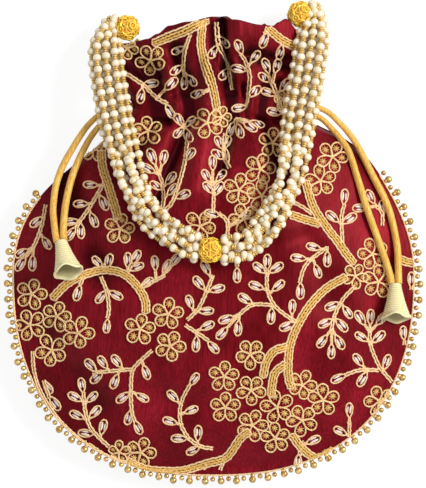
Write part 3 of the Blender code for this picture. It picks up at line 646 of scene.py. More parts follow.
# Painted shade: the colour that the silk takes in its folds and on the sides that turn from the light.
paint_shade_and_reflection(silk, (26, 0, 5))
lining_cloth = finish("maroon_lining", (84, 14, 28), (112, 22, 40), (900, 900, 900), 0.6, 0.2,
                      Specular_IOR_Level=0.25)
for obj, node, slot, material in (
    (front_silk, "front_panel", "silk", silk), (back_silk, "back_panel", "silk", silk),
    (linings[0], "front_lining", "lining", lining_cloth),
    (linings[1], "back_lining", "lining", lining_cloth),
):
    obj.data.materials.append(material)
    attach(obj, "bag")
    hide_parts(node)

# %% [markdown]
# ## Laying thread on the cloth
# The embroidery was drawn over the bag as seen from above. Each point of the drawing is dropped
# straight down onto the silk, as a needle would come down on it, so a stem dips into the folds.

# %% Drop a drawing onto the silk
UNIT = 0.54 * MM          # one step of the drawing


def on_drawing(spot):
    """A place of the drawing, 'right,down' from its top left corner, in the bag's frame."""
    right, down = map(float, spot.split(","))
    return Vector(((right - 213.5) * UNIT, (275 - down) * UNIT, 0))


def dropped(place, lift=0.0):
    """The point and normal of the silk under a place, as the camera sees it."""
    spot = place.xy
    for _ in range(24):
        hit, normal, _, _ = front_tree.ray_cast(Vector((*spot, 0.1)), Vector((0, 0, -1)))
        if hit:
            away = (CAMERA_AWAY - hit.z + VIEW_MIDDLE.z) / CAMERA_AWAY
            seen = VIEW_MIDDLE.xy + (place.xy - VIEW_MIDDLE.xy) * away
            again, normal2, _, _ = front_tree.ray_cast(Vector((*seen, 0.1)), Vector((0, 0, -1)))
            if again and spot == place.xy:
                hit, normal = again, normal2
            return hit + normal * lift, normal
        spot = spot * 0.985
    raise ValueError(f"no silk under {place}")


def laid(line, radius, lift=0.8):
    """A flat line of the drawing, laid on the silk."""
    return [dropped(p, radius * lift)[0] for p in line]


def beside(line, offset, wiggle=0.0, pitch=3 * MM, phase=0.0):
    """A line beside another one, in the plane of the drawing."""
    found, run = [], 0.0
    for i, p in enumerate(line):
        ahead = (line[min(i + 1, len(line) - 1)] - line[max(i - 1, 0)]).normalized()
        run += (p - line[max(i - 1, 0)]).length
        shift = offset + wiggle * math.sin(2 * math.pi * run / pitch + phase)
        found.append(p + Vector((-ahead.y, ahead.x, 0)) * shift)
    return found


def plied(count, radius, thin=0.78):
    """Radii of a twisted cord: thick and thin by turns."""
    return [radius * (1 if i % 2 else thin) for i in range(count)]


# %% [markdown]
# ## Stems
# The thick stems are rows of chain stitch side by side: two rows of amber gold between two paler
# outlines. The thin stems of the sprigs are two cords that lie together.

# %% Stems of couched cord
rose_gold = finish("rose_gold_cord", (222, 172, 114), (255, 224, 178), (1400, 1400, 1400), 0.45, 0.3,
                   Specular_Tint=rgb(255, 220, 180), Sheen_Weight=0.2)
amber_gold = finish("amber_gold_thread", (192, 138, 62), (246, 208, 124), (1600, 1600, 1600), 0.42, 0.35,
                    Specular_Tint=rgb(255, 215, 130))
THICK_STEMS = (
    "53,298 67,284 84,275 106,270 124,274 137,286 145,300 146,312",
    "128,461 145,469 164,471 184,470 207,463 226,457 240,438 249,431",
    "345,277 325,289 309,306 297,326 290,344 288,359 288,376 291,387",
    "286,347 274,351 266,362 263,376", "285,364 275,372 272,384 271,395",
    "305,182 313,207 328,230 336,240 345,253 353,263", "291,215 303,219 319,224",
    "102,152 103,168 109,187 115,207 118,218", "202,23 201,47 207,70 212,87 216,108",
    "154,43 171,36 187,30 207,20", "267,28 280,39 291,45 300,47",
    "292,435 300,446 313,457 325,459 337,455", "397,258 406,262 414,263",
)
RIM_STEMS = ("33,351 34,368 38,385 47,403 60,421 78,438 98,453 116,462 130,464",)
SPRIGS = (  # stem points | leaf middles
    "46,205 43,223 38,238 32,251|37,222 47,243 22,253 21,264 33,263",
    "104,184 89,209 78,224|91,185 104,203 81,204 94,220 71,222 71,234 81,231",
    "106,270 103,264|98,262 109,261", "128,271 131,265|128,260 136,257 137,267", "84,276 80,285|78,293",
    "101,277 107,292 109,309 107,320|101,297 116,295 107,326",
    "140,288 152,282 165,275|147,283 167,267 155,263 175,260",
    "152,350 137,364 132,373 131,393 132,412 135,421|146,372 123,397 142,397 129,417 138,427",
    "132,369 109,371 93,372|117,361 115,381 103,362 91,365 97,377",
    "83,384 85,409 90,426 100,438 109,446|82,385 75,397 92,397 77,415 95,412 86,433 103,427",
    "44,380 50,398|48,387 55,403",
    "193,379 182,400 180,420 188,437 201,446 213,448"
        "|194,379 173,396 191,410 170,421 198,433 179,438 193,450",
    "187,320 198,309 205,295 213,275|190,302 206,311 199,283 217,289 206,268",
    "185,325 202,336 210,342|207,326 196,344 213,347",
    "267,270 267,289 274,305 288,317 297,322|267,262 259,268 276,268 256,286 278,286 292,307 287,326",
    "272,305 252,305 236,317|245,299 271,316 226,319 222,333 238,328",
    "327,247 306,264 299,283|298,258 317,271 327,259 313,247 300,291",
    "355,286 342,300 333,319 331,333|332,306 347,312 325,323 341,325 322,341 339,342 331,351",
    "369,328 370,345 378,365 383,372 392,382|370,317 360,318 381,319 361,337 378,337 386,362",
    "378,370 359,370 344,375|358,360 362,379 338,378", "349,436 349,420|349,410 340,431",
    "300,447 304,441|313,440", "299,448 300,455|298,461", "404,345 404,340|403,333", "411,290 411,286|411,280",
    "239,52 246,64 250,75 249,96 246,107|239,47 255,57 239,69 254,92 239,108",
    "271,80 277,96 283,114|266,66 277,66 264,78 285,85 268,93 274,112",
    "268,30 264,34|264,40", "282,42 281,46|280,52", "216,22 219,47 229,67 232,90|224,42 213,52 224,74",
    "236,118 237,124|231,129 240,131 250,127 257,124", "224,133 223,152 230,168|219,143 227,143 218,155 226,157",
    "213,212 213,190 207,172|212,163 206,176 221,176 208,188 218,189",
    "227,240 227,222 217,212|212,214 244,216", "342,243 341,218 344,204|344,197 332,217 349,219",
    "382,226 381,212 371,203|360,208 370,197 382,208", "184,75 185,53 190,34|178,50 176,70 192,80 184,82",
    "200,96 208,90|198,94", "124,72 145,87 156,98 168,104|151,84 141,96 171,84 170,111",
    "178,122 184,128|179,132 188,135 179,120 190,122", "162,213 173,201 184,168 188,142|183,195 190,155",
    "157,171 163,187 164,202 159,216|152,157 163,158 148,169 171,179 156,186 173,190",
    "109,88 124,104 128,118|118,92", "237,259 237,269|237,275", "312,214 302,207 292,202|",
    "224,457 222,464 220,470|", "208,462 203,469|",
)


def drawn(points, step):
    return even_steps(smooth_line([on_drawing(p) for p in points.split()]), step)


outlines, fillings = [], []
for route in THICK_STEMS:
    line = drawn(route, 1.1 * MM)
    sides = [beside(line, offset * MM, 0.14 * MM, 4 * MM, offset) for offset in (-1.95, 1.95)]
    tips = [end + (end - before).normalized() * 0.9 * MM for before, end in ((line[1], line[0]), line[-2:])]
    outlines.append([*sides[0], tips[1], *sides[1][::-1], tips[0], sides[0][0]])
    for offset in (-0.66, 0.66):
        fillings.append(beside(line, offset * MM, 0.2 * MM, 2.6 * MM, 2 * offset))
for route in RIM_STEMS:
    line = drawn(route, 1.1 * MM)
    outlines += [beside(line, offset * MM, 0.14 * MM) for offset in (-0.6, 0.6)]
sprig_lines = []


def nearest(point, spots):
    """The distance from a point to the nearest of the spots."""
    return min(((point - spot).length for spot in spots), default=1.0)


for sprig in SPRIGS:
    stem, leaves = sprig.split("|")
    line, leaves = drawn(stem, 1.1 * MM), [on_drawing(spot) for spot in leaves.split()]
    if nearest(line[0], leaves) < nearest(line[-1], leaves):
        line.reverse()          # from the root to the tip, where the last leaf sits
    while len(line) > 4 and nearest(line[-1], leaves) < 3.4 * MM:
        line.pop()              # the stem stops at the foot of that leaf
    sprig_lines.append(line)
    outlines += [beside(line, offset * MM, 0.16 * MM, 3.4 * MM, offset) for offset in (-0.62, 0.62)]


def sewn(name, lines, radius, material, closed=False, lift=0.8):
    """Threads of one kind, laid on the silk as one piece."""
    found = [laid(line, radius, lift) for line in lines]
    widths = [plied(len(line), radius) for line in found]
    obj = to_mesh(thread_object(name, found, widths, 1, material, closed))
    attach(obj, "bag")
    print(name, len(found), "threads,", len(obj.data.polygons), "faces")
    return obj


stem_outlines = sewn("stem_outline_cords", outlines, 0.58 * MM, rose_gold)
stem_fillings = sewn("stem_chain_stitches", fillings, 0.74 * MM, amber_gold, lift=0.7)
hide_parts(*[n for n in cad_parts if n.startswith("stem_")])

# %% [markdown]
# ## Leaves and petals
# A leaf and a petal are both a loop of cord sewn down as a drop. A leaf holds two pads of pale
# satin stitch with a dark slit between them. A petal holds a star of gold knots.

# %% Loops
LEAF_LONG, LEAF_WIDE = 8.3 * MM, 4.7 * MM
KNOT_SHARE = 0.62       # how far along its petal a knot sits
PETAL_LONG, PETAL_WIDE, PETALS = 8.3 * MM, 7.2 * MM, 5


def heading(angle):
    return Vector((math.cos(angle), math.sin(angle), 0))


def drop_loop(base, angle, long, wide, points, sharp):
    """A drop-shaped loop that starts at its base and points along the angle."""
    ahead, aside = heading(angle), heading(angle + math.pi / 2)
    loop = []
    for i in range(points):
        t = 2 * math.pi * (i + 0.5) / points
        out = long * (1 - math.cos(t)) / 2
        loop.append(base + ahead * out + aside * (wide / 2 * math.sin(t) * math.sin(t / 2) ** sharp))
    return loop


def wander(x, y):
    """A fixed value from -1 to 1 for a place, so that no two leaves are quite alike."""
    return max(-1.0, min(1.0, 2 * noise.noise(Vector((x / MM, y / MM, 3.3)) * 0.31)))


leaf_loops, leaf_places = [], []
for sprig, line in zip(SPRIGS, sprig_lines):
    for spot in sprig.split("|")[1].split():
        middle = on_drawing(spot)
        near = min(range(len(line)), key=lambda i: (line[i] - middle).length)
        inner = line[max(0, near - 3)] if near < len(line) - 1 or len(line) < 6 else line[-3]
        way = middle - inner
        angle = math.atan2(way.y, way.x)
        size = 1 + 0.08 * wander(middle.x, middle.y)
        base = middle - heading(angle) * LEAF_LONG * size / 2
        loop = drop_loop(base, angle, LEAF_LONG * size, LEAF_WIDE * size, 14, 0.55)
        if (base - line[near]).length > 1.3 * MM:       # the cord reaches the stem as a short stalk
            stalk = even_steps([inner, base], 1.1 * MM)
            loop = beside(stalk, -0.4 * MM) + loop + beside(stalk, 0.4 * MM)[::-1]
        leaf_loops.append(loop)
        leaf_places.append((middle, angle, size))
leaf_outlines = sewn("leaf_outline_cords", leaf_loops, 0.54 * MM, rose_gold, closed=True)
print(len(leaf_places), "leaves")

# %% [markdown]
# Each flower has five petals and is turned by an amount of its own. The place of each petal's knot
# is kept here, and the knots are modelled in the next step.

# %% Flowers
FLOWERS = (
    "151,60 148,131 207,123 221,117 120,229 94,149 273,143 260,169 239,190 244,219 200,226 262,196 332,157 "
    "320,181 32,294 30,325 57,316 78,333 52,350 140,329 168,314 170,346 141,452 119,452 224,376 250,354 "
    "251,390 225,407 252,425 277,407 302,385 323,400 302,420 275,438 379,401 355,276 378,282 372,254 "
    "127,48 283,100"
)
SMALL = {"119,452": 0.75, "355,276": 0.8, "221,117": 0.7, "94,149": 0.85, "127,48": 0.8, "283,100": 0.6}
petal_loops, knot_places = [], []
for spot in FLOWERS.split():
    middle = on_drawing(spot)
    size = SMALL.get(spot, 1) * (1 + 0.05 * wander(middle.x, middle.y))
    start = math.pi * wander(middle.y, middle.x)
    for i in range(PETALS):
        angle = start + 2 * math.pi * i / PETALS + 0.1 * wander(middle.x + i * MM, middle.y)
        long = PETAL_LONG * size * (1 + 0.07 * wander(middle.x, middle.y + i * MM))
        petal_loops.append(drop_loop(middle, angle, long, PETAL_WIDE * size, 18, 0.9))
        knot_places.append((middle + heading(angle) * long * KNOT_SHARE, angle, size))
flower_gold = finish("flower_gold_cord", (218, 168, 108), (253, 224, 168), (1500, 1500, 1500), 0.44, 0.3,
                     Specular_Tint=rgb(255, 220, 160), Sheen_Weight=0.2)
petal_outlines = sewn("petal_outline_cords", petal_loops, 0.54 * MM, flower_gold, closed=True)
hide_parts(*[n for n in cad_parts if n.startswith("flower_")])
print(len(petal_loops) // PETALS, "flowers")

# %% [markdown]
# ## Satin pads and knots
# What repeats is modelled once. The pad is a squashed ball with pointed ends, and the knot is a
# cone whose rim is pulled in at every second point. Copies are turned to lie on the silk.

# %% Model a pad and a knot
silver_satin = finish("silver_rose_satin", (196, 160, 140), (246, 230, 218), (2600, 2600, 2600), 0.35, 0.25,
                      spread=(0.3, 0.55), Sheen_Weight=0.3)
knot_gold = finish("gold_knot_thread", (176, 130, 60), (244, 210, 130), (2200, 2200, 2200), 0.4, 0.4)

pad = smooth_ball(8, 6)
for vert in pad.data.vertices:
    width = (1 - abs(vert.co.z) ** 3) ** 0.5
    vert.co = (vert.co.z, vert.co.x * (0.5 + 0.5 * width), vert.co.y)
none_selected()
bpy.ops.mesh.primitive_cone_add(vertices=16, radius1=1, radius2=0.12, depth=0.5, end_fill_type="TRIFAN")
knot = bpy.context.object
for vert in knot.data.vertices:
    turn = round(math.atan2(vert.co.y, vert.co.x) / (2 * math.pi) * 16)
    if vert.co.z < 0 and turn % 2 and vert.co.xy.length > 0.5:
        vert.co.xy = vert.co.xy * 0.42


def copies(name, source, places):
    """One mesh with a copy of the source at each place."""
    together = bmesh.new()
    for place in places:
        copy = source.data.copy()
        copy.transform(place)
        together.from_mesh(copy)
        bpy.data.meshes.remove(copy)
    mesh = bpy.data.meshes.new(name)
    together.to_mesh(mesh)
    together.free()
    obj = bpy.data.objects.new(name, mesh)
    bpy.context.scene.collection.objects.link(obj)
    return obj


def faces_up(middle):
    """Whether a place of the drawing is on silk that the camera sees, and not past its edge."""
    point, normal = dropped(middle)
    return normal.z > 0.35 and (point.xy - middle.xy).length < 2.5 * MM


def resting(middle, angle, scale, lift):
    """Turns a copy to lie on the silk, with its X axis along the angle."""
    point, normal = dropped(middle, lift)
    ahead = heading(angle)
    ahead = (ahead - normal * ahead.dot(normal)).normalized()
    turn = Matrix((ahead, normal.cross(ahead), normal)).transposed().to_4x4()
    return Matrix.Translation(point) @ turn @ Matrix.Diagonal((*scale, 1))


PAD_TALL, PAD_LIFT = 0.55 * MM, 0.2 * MM
KNOT_LONG, KNOT_WIDE, KNOT_TALL, KNOT_LIFT = 2.7 * MM, 2.4 * MM, 1.2 * MM, 0.3 * MM
pad_places = []
for middle, angle, size in leaf_places:
    ahead, aside = heading(angle), heading(angle + math.pi / 2)
    flip = 1 if wander(middle.y, middle.x) > 0 else -1
    for offset, wide, long in ((0.72, 0.78, 2.6), (-0.86, 0.55, 2.2)):
        spot = middle + aside * (flip * offset * size * MM) + ahead * 0.35 * MM
        pad_places.append(resting(spot, angle, (long * size * MM, wide * size * MM, PAD_TALL), PAD_LIFT))
satin_pads = copies("leaf_satin_pads", pad, pad_places)
satin_pads.data.materials.append(silver_satin)
knots = copies("petal_knots", knot, [
    resting(middle, angle + 0.6 * wander(middle.y, middle.x),
            (KNOT_LONG * size, KNOT_WIDE * size, KNOT_TALL), KNOT_LIFT)
    for middle, angle, size in knot_places if faces_up(middle)
])
knots.data.materials.append(knot_gold)
for obj in (satin_pads, knots):
    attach(obj, "bag")
bpy.data.objects.remove(pad)
bpy.data.objects.remove(knot)
print(len(pad_places), "satin pads,", len(knot_places), "knots")

# %% [markdown]
# ## The rim
# A thin cord covers the cut edge of the round pouch, and gold beads are sewn along it: a large one
# on a small one at every stitch, and one more small one between.

# %% Rim cord and beads
bead_gold = finish("brass_bead", (152, 116, 58), (224, 190, 124), (700, 700, 700), 0.28, 0.05, Metallic=0.7)
EDGING_TOPS = {-1: 0.47 * NECK, 1: 0.6 * NECK}


def rim_line(out):
    """Round the rim from the left shoulder over the bottom to the right, out from the cut edge."""
    halves = []
    for sign in (-1, 1):
        half = []
        for i in range(12):
            y = EDGING_TOPS[sign] * (1 - i / 12)
            half.append(Vector((middle_x(y) + sign * (half_width(y) + out), y, RIM)))
        for i in range(60):
            angle = math.pi / 2 * i / 60
            half.append(Vector((sign * (HALF_WIDTH + out) * math.cos(angle) ** (2 / ROUND),
                                -(DROP + out) * math.sin(angle) ** (2 / ROUND), RIM)))
        halves.append(half)
    return halves[0] + [Vector((0, -(DROP + out), RIM))] + halves[1][::-1]


edge = even_steps(rim_line(-0.3 * MM), 1.2 * MM)
for p in edge:
    p.z += 1.2 * MM
edge_cord = to_mesh(thread_object("rim_edge_cord", [edge], [plied(len(edge), 0.6 * MM)], 1, rose_gold))
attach(edge_cord, "bag")

bead = smooth_ball(12, 8)
BEAD_STEP = 4.2 * MM
stitches = even_steps(rim_line(0), BEAD_STEP)
bead_places = []
for out, height, radius, every in ((0.9, 0.8, 1.3, (0,)), (3.0, 0.1, 2.0, (0,)), (1.7, 0.5, 1.4, (1,))):
    for i, p in enumerate(beside(stitches, -out * MM)):
        if i % 2 in every:
            lean = 0.4 * MM * wander(p.x, p.y)
            spot = p + Vector((lean, lean, height * MM + lean))
            bead_places.append(Matrix.Translation(spot) @ Matrix.Diagonal((radius * MM,) * 3 + (1,)))
rim_beads = copies("rim_gold_beads", bead, bead_places)
rim_beads.data.materials.append(bead_gold)
bpy.data.objects.remove(bead)
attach(rim_beads, "bag")
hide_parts("rim_bead_edging")
print(len(bead_places), "beads on the rim")

# %% [markdown]
# ## The handle's pearl strands
# Eighteen strands, nine at each side, run from the ball at the mouth's corner down to the ball in
# the middle. Each is a row of ivory pearls with two small brass beads between neighbours. Near the
# mouth three lie above four, and two more hide under them, so that five columns are seen side by
# side. Where the bundle rests on the pouch, the strands sway and cross, and those two fill the gaps.

# %% Middle line of the bundle
BALL = 7.2 * MM
PEARL = 4.7 * MM
PITCH, ACROSS, DEEP = 6.6 * MM, 4.9 * MM, 4.1 * MM
HANDLE_MIDDLE = Vector((-1.9 * MM, 13.5 * MM, front_height(-1.9 * MM, 13.5 * MM) + 1.7 * MM + BALL))
BALL_PLACES = {"left": Vector((-47, 134, 16)) * MM, "right": Vector((47, 141.5, 16)) * MM}
TILT, MIDDLE_TILT = math.radians(14), {"left": math.radians(14), "right": math.radians(3)}
ROUTES = {  # middle of the bundle from above, in mm
    "left": ((-56.6, 132), (-58.2, 123), (-57.2, 110), (-55.2, 97), (-52.2, 81), (-48, 64.8), (-42.9, 48.6),
             (-34.3, 34), (-23, 23)),
    "right": ((54.8, 139), (53.2, 126), (50.6, 108), (47.2, 90), (43.4, 67.5), (38.4, 45.9),
              (30.5, 28), (18.5, 16.5)),
}


def bundle_line(word, sign):
    ball = BALL_PLACES[word]
    out = Vector((sign * math.cos(TILT), math.sin(TILT), 0))
    points = [ball + out * (BALL - 2.2 * MM), ball + out * (BALL + 0.6 * MM)]
    for x, y in ROUTES[word]:
        x, y = x * MM, y * MM
        share = (y - ball.y) / (HANDLE_MIDDLE.y - ball.y)
        carried = front_height(x, y) + 2.2 * MM + (DEEP + PEARL) / 2
        free = RIM + 4 * MM * smoothstep(0, 0.1, share) + 29 * MM * share
        resting_z = 0.5 * (free + carried + math.sqrt((free - carried) ** 2 + (3 * MM) ** 2))
        points.append(Vector((x, y, free + (resting_z - free) * smoothstep(0.3, 0.5, share))))
    inward = Vector((sign * math.cos(MIDDLE_TILT[word]), math.sin(MIDDLE_TILT[word]), 0))
    points += [HANDLE_MIDDLE + inward * (BALL + d * MM) for d in (3.0, -2.4)]
    return even_steps(smooth_line(points, 10), 1.5 * MM)


def slope_normal(x, y, weight):
    step = 4 * MM
    dx = (front_height(x + step, y) - front_height(x - step, y)) / (2 * step)
    dy = (front_height(x, y + step) - front_height(x, y - step)) / (2 * step)
    return Vector((-dx * weight, -dy * weight, 1)).normalized()


def strand_line(centre, index, layer):
    """One strand beside the middle line: index counts across, layer is 0 below, 1 above and 2 for
    the two that fill up the bundle."""
    count, found = len(centre) - 1, []
    for i, point in enumerate(centre):
        share = i / count
        ahead = (centre[min(i + 1, count)] - centre[max(i - 1, 0)]).normalized()
        across = ahead.cross(slope_normal(point.x, point.y, smoothstep(0.4, 0.6, share))).normalized()
        up = across.cross(ahead)
        low = smoothstep(0.4, 0.62, share) * (1 - smoothstep(0.95, 1.0, share))
        fan = 0.5 + 0.5 * smoothstep(0, 0.15, share) - 0.1 * smoothstep(0.94, 1.0, share)
        place, level = index - 1, 1
        if layer == 0:      # its outer two spread out at the top
            spread = (1 - low) * (index in (0, 3))
            place, level = (index - 1.5) * (0.86 + 0.22 * spread), 0.22 * spread
        if layer == 2:      # hidden under the others at the top, and between them below
            place, level = (index - 0.5) * (2.5 - 1.2 * low), -0.8 + 1.7 * low
        sway = 2 * math.pi * ((1.5 + 0.35 * index) * share + 0.41 * index + 0.27 * layer)
        sideways = place * ACROSS * (1 - 0.06 * low) * fan + (1.6 + 0.4 * layer) * MM * low * math.sin(sway)
        height = (level - 0.5) * DEEP + low * MM * (1.3 + 1.3 * math.cos(1.4 * sway + index))
        found.append(point + across * sideways + up * height)
    return found


# %% Pearls and brass beads along each strand
pearl_ivory = finish("ivory_pearl", (234, 218, 184), (250, 241, 218), (260, 260, 260), 0.24, 0.03,
                     Coat_Weight=0.4, Coat_Roughness=0.12, Sheen_Weight=0.15, Sheen_Tint=rgb(255, 235, 215))
link_gold = finish("warm_brass_link", (190, 148, 72), (236, 204, 124), (900, 900, 900), 0.3, 0.05, Metallic=0.4)
pearl = smooth_ball(12, 8)
set_painted_shade_and_reflection(pearl, [smoothstep(0.5, 1.0, abs(v.co.z)) for v in pearl.data.vertices])
paint_shade_and_reflection(pearl_ivory, (214, 176, 100))      # painted reflection of the brass beads, warm and darker at each bore
link_bead = smooth_ball(8, 5)
for source, material in ((pearl, pearl_ivory), (link_bead, link_gold)):
    source.data.materials.append(material)


def joined(name, *objs):
    none_selected()
    for obj in objs:
        obj.select_set(True)
    bpy.context.view_layer.objects.active = objs[0]
    bpy.ops.object.join()
    bpy.context.object.name = bpy.context.object.data.name = name
    return bpy.context.object


PEARL_SIZE = Matrix.Diagonal((PEARL / 2, PEARL / 2, PEARL / 2 * 0.96, 1))
LINK_SIZE, LINK_APART = Matrix.Diagonal((1.5 * MM, 1.5 * MM, 0.72 * MM, 1)), 0.62 * MM
pearl_count = 0
for word, sign in (("left", -1), ("right", 1)):
    centre = bundle_line(word, sign)
    for layer, row, count in ((1, "upper", 3), (0, "lower", 4), (2, "inner", 2)):
        for index in range(count):
            points = even_steps(strand_line(centre, index, layer), PITCH / 2, even_count=True)
            pearls, links = [], []
            for i in range(1, len(points) - 1):
                ahead = (points[i + 1] - points[i - 1]).normalized()
                if i % 2:
                    near_end = smoothstep(0.3, 0.6, i / len(points))
                    nudge = 0.35 * MM * near_end * wander(points[i].x, points[i].y)
                    pearls.append(aimed(points[i] + Vector((nudge, -nudge, nudge / 2)), ahead)
                                  @ PEARL_SIZE)
                else:
                    for way in (-1, 1):
                        links.append(aimed(points[i] + ahead * way * LINK_APART, ahead) @ LINK_SIZE)
            name = f"strand_{word}_{row}_{index + 1}"
            strands = [copies("pearls", pearl, pearls), copies("links", link_bead, links)]
            for obj, material in zip(strands, (pearl_ivory, link_gold)):
                obj.data.materials.clear()
                obj.data.materials.append(material)
            strand = joined(f"pearl_{name}", *strands)
            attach(strand, "handle")
            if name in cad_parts:
                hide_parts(name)
            pearl_count += len(pearls)
bpy.data.objects.remove(pearl)
bpy.data.objects.remove(link_bead)
print(pearl_count, "pearls")

# %% [markdown]
# ## Filigree balls
# The three balls are openwork of bright gilt wire. A wireframe of a faceted ball gives the net, a ring of wire
# fills each of its corners, and a core of darker gold, painted shade of the ball's inside, shows between them.

# %% Filigree ball
NET_RADIUS, NET_WIRE, CORE_RADIUS = 6.75 * MM, 0.75 * MM, 5.9 * MM
RING_RADIUS, RING_WIRE = 1.75 * MM, 0.42 * MM
gilt = finish("bright_gilt_wire", (246, 190, 50), (255, 230, 110), (900, 900, 900), 0.32, 0.08, Metallic=0.2,
              Specular_Tint=rgb(255, 220, 120))
# Painted shade: the core is a darker gold that stands for the shaded inside of the openwork.
gilt_core = finish("shaded_gilt_core", (236, 168, 42), (248, 198, 80), (500, 500, 500), 0.5, 0.1)
none_selected()
bpy.ops.mesh.primitive_ico_sphere_add(subdivisions=1, radius=1)
corners = [v.co.normalized() for v in bpy.context.object.data.vertices]
bpy.data.objects.remove(bpy.context.object)
bpy.ops.mesh.primitive_ico_sphere_add(subdivisions=2, radius=NET_RADIUS)
net = bpy.context.object
wire = net.modifiers.new("wire", "WIREFRAME")
wire.thickness, wire.use_even_offset = NET_WIRE, True
bpy.ops.object.modifier_apply(modifier=wire.name)
net.data.materials.append(gilt)
bpy.ops.mesh.primitive_torus_add(major_radius=RING_RADIUS, minor_radius=RING_WIRE,
                                 major_segments=14, minor_segments=6)
ring = bpy.context.object
ring.data.shade_smooth()
rings = copies("rings", ring, [aimed(c * NET_RADIUS, c) for c in corners])
rings.data.materials.append(gilt)
bpy.data.objects.remove(ring)
core = smooth_ball(24, 16, CORE_RADIUS)
core.data.materials.append(gilt_core)
ball_pattern = joined("ball_pattern", net, rings, core)
for name, place, way in (
    ("end_ball_left", BALL_PLACES["left"], Vector((-math.cos(TILT), math.sin(TILT), 0))),
    ("end_ball_right", BALL_PLACES["right"], Vector((math.cos(TILT), math.sin(TILT), 0))),
    ("middle_ball", HANDLE_MIDDLE, Vector((1, 0, 0))),
):
    ball = placed_copy(f"filigree_{name}", ball_pattern, aimed(place, way))
    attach(ball, "handle")
    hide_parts(name)
bpy.data.objects.remove(ball_pattern)
print("three filigree balls")

# %% [markdown]
# ## Small cords that hold things
# A loop of cord sewn inside each corner of the mouth carries the end ball, and the drawstrings run
# on through the channel between silk and lining, out of sight but for their ends in the slits.

# %% Tabs and channel cords
LOOP_RADIUS = 0.75 * MM
CHANNEL_REACH, CHANNEL_RISE, SLIT_RISE = NECK_HALF - 5.7 * MM, 5.3 * MM, 1.95 * MM
HALF_ROUND = 20     # points along one side of the channel
for word, sign in (("left", -1), ("right", 1)):
    ball = BALL_PLACES[word]
    corner = Vector((sign * 38.5 * MM, ball.y - 11 * MM, RIM))
    inward = (corner - ball).normalized()
    end = ball + inward * (BALL + 0.8 * MM)
    root = corner + Vector((-sign * 0.6 * MM, -9 * MM, 0))
    line = even_steps(smooth_line([end, corner, root]), MM)
    strands = [beside(line, offset * MM, 0.2 * MM, 2.4 * MM, offset) for offset in (-0.6, 0.6)]
    widths = [plied(len(p), LOOP_RADIUS) for p in strands]
    tab = to_mesh(thread_object(f"ball_loop_{word}", strands, widths, 1, amber_gold))
    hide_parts(f"handle_tab_{word}")
    row_y = NECK - sign * 2 * MM
    in_slit = sign * (NECK_HALF + 0.1 * MM)
    points = [Vector((in_slit, row_y, RIM + SLIT_RISE))]
    for i in range(1, 2 * HALF_ROUND):
        u = math.cos(math.pi * i / HALF_ROUND)
        z = RIM + (1 if i < HALF_ROUND else -1) * CHANNEL_RISE * swell(u * 0.93, 0.6)
        points.append(Vector((sign * CHANNEL_REACH * u, row_y, z)))
    points.append(Vector((in_slit, row_y, RIM - SLIT_RISE)))
    line = even_steps(smooth_line(points), 2 * MM)
    run = to_mesh(thread_object(f"channel_cord_{word}", [line], [[CORD / 2] * len(line)], 2, satin_cord))
    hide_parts(f"drawstring_{word}_channel_run")
    for obj in (tab, run):
        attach(obj, "bag")
print("loops and channel cords")

# %% [markdown]
# ## Floor, world and light
# The bag lies on a white sheet. For the camera the floor is nearly white by itself, and only a
# small part of its brightness comes from the lamps, so it stays white and still keeps the bag's
# soft shadow. One large sun from the upper right and a plain world light the cloth.

# %% Floor and world


def sees_background(nodes, link):
    """1 for rays from the camera and for reflections, 0 for bounced light."""
    path = nodes.new("ShaderNodeLightPath")
    total = path.outputs["Is Camera Ray"]
    for kind in ("Is Glossy Ray", "Is Transmission Ray"):
        add = nodes.new("ShaderNodeMath")
        add.operation, add.use_clamp = "ADD", True
        link(total, add.inputs[0])
        link(path.outputs[kind], add.inputs[1])
        total = add.outputs[0]
    return total


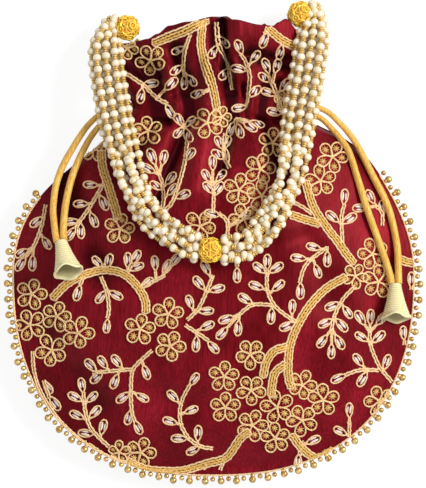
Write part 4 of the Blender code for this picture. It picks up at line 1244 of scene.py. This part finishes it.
none_selected()
bpy.ops.mesh.primitive_grid_add(x_subdivisions=8, y_subdivisions=8, size=6, location=(0, 0, 0))
floor = bpy.context.object
floor.name = "white_floor"
white = bpy.data.materials.new("white_floor")
white.use_nodes = True
nodes, link = white.node_tree.nodes, white.node_tree.links.new
nodes.remove(nodes["Principled BSDF"])
plain = nodes.new("ShaderNodeBsdfDiffuse")
plain.inputs["Color"].default_value = (0.75, 0.75, 0.75, 1)
shaded = nodes.new("ShaderNodeBsdfDiffuse")
shaded.inputs["Color"].default_value = (0.2, 0.2, 0.2, 1)
glow = nodes.new("ShaderNodeEmission")
glow.inputs["Strength"].default_value = 0.87
seen = nodes.new("ShaderNodeAddShader")
link(shaded.outputs[0], seen.inputs[0])
link(glow.outputs[0], seen.inputs[1])
mixed = nodes.new("ShaderNodeMixShader")
link(sees_background(nodes, link), mixed.inputs[0])
link(plain.outputs[0], mixed.inputs[1])
link(seen.outputs[0], mixed.inputs[2])
link(mixed.outputs[0], nodes["Material Output"].inputs["Surface"])
floor.data.materials.append(white)

world = bpy.data.worlds.new("studio")
bpy.context.scene.world = world
world.use_nodes = True
nodes, link = world.node_tree.nodes, world.node_tree.links.new
soft = nodes["Background"]
soft.inputs["Color"].default_value = (1, 1, 1, 1)
soft.inputs["Strength"].default_value = 0.42
bright = nodes.new("ShaderNodeBackground")
bright.inputs["Color"].default_value = (1, 1, 1, 1)
bright.inputs["Strength"].default_value = 1
mixed = nodes.new("ShaderNodeMixShader")
link(sees_background(nodes, link), mixed.inputs[0])
link(soft.outputs[0], mixed.inputs[1])
link(bright.outputs[0], mixed.inputs[2])
link(mixed.outputs[0], nodes["World Output"].inputs["Surface"])

# %% Lamps
SUNS = (  # name, strength, size and turns in degrees
    ("key_light", 2.8, 20, (-14, 46, 0)),
    ("fill_light", 0.35, 50, (20, -30, 0)),
)
for name, strength, size, turn in SUNS:
    lamp = bpy.data.lights.new(name, "SUN")
    lamp.energy, lamp.angle = strength, math.radians(size)
    obj = bpy.data.objects.new(name, lamp)
    obj.rotation_euler = [math.radians(degrees) for degrees in turn]
    bpy.context.scene.collection.objects.link(obj)
bpy.context.scene.view_settings.view_transform = "Standard"
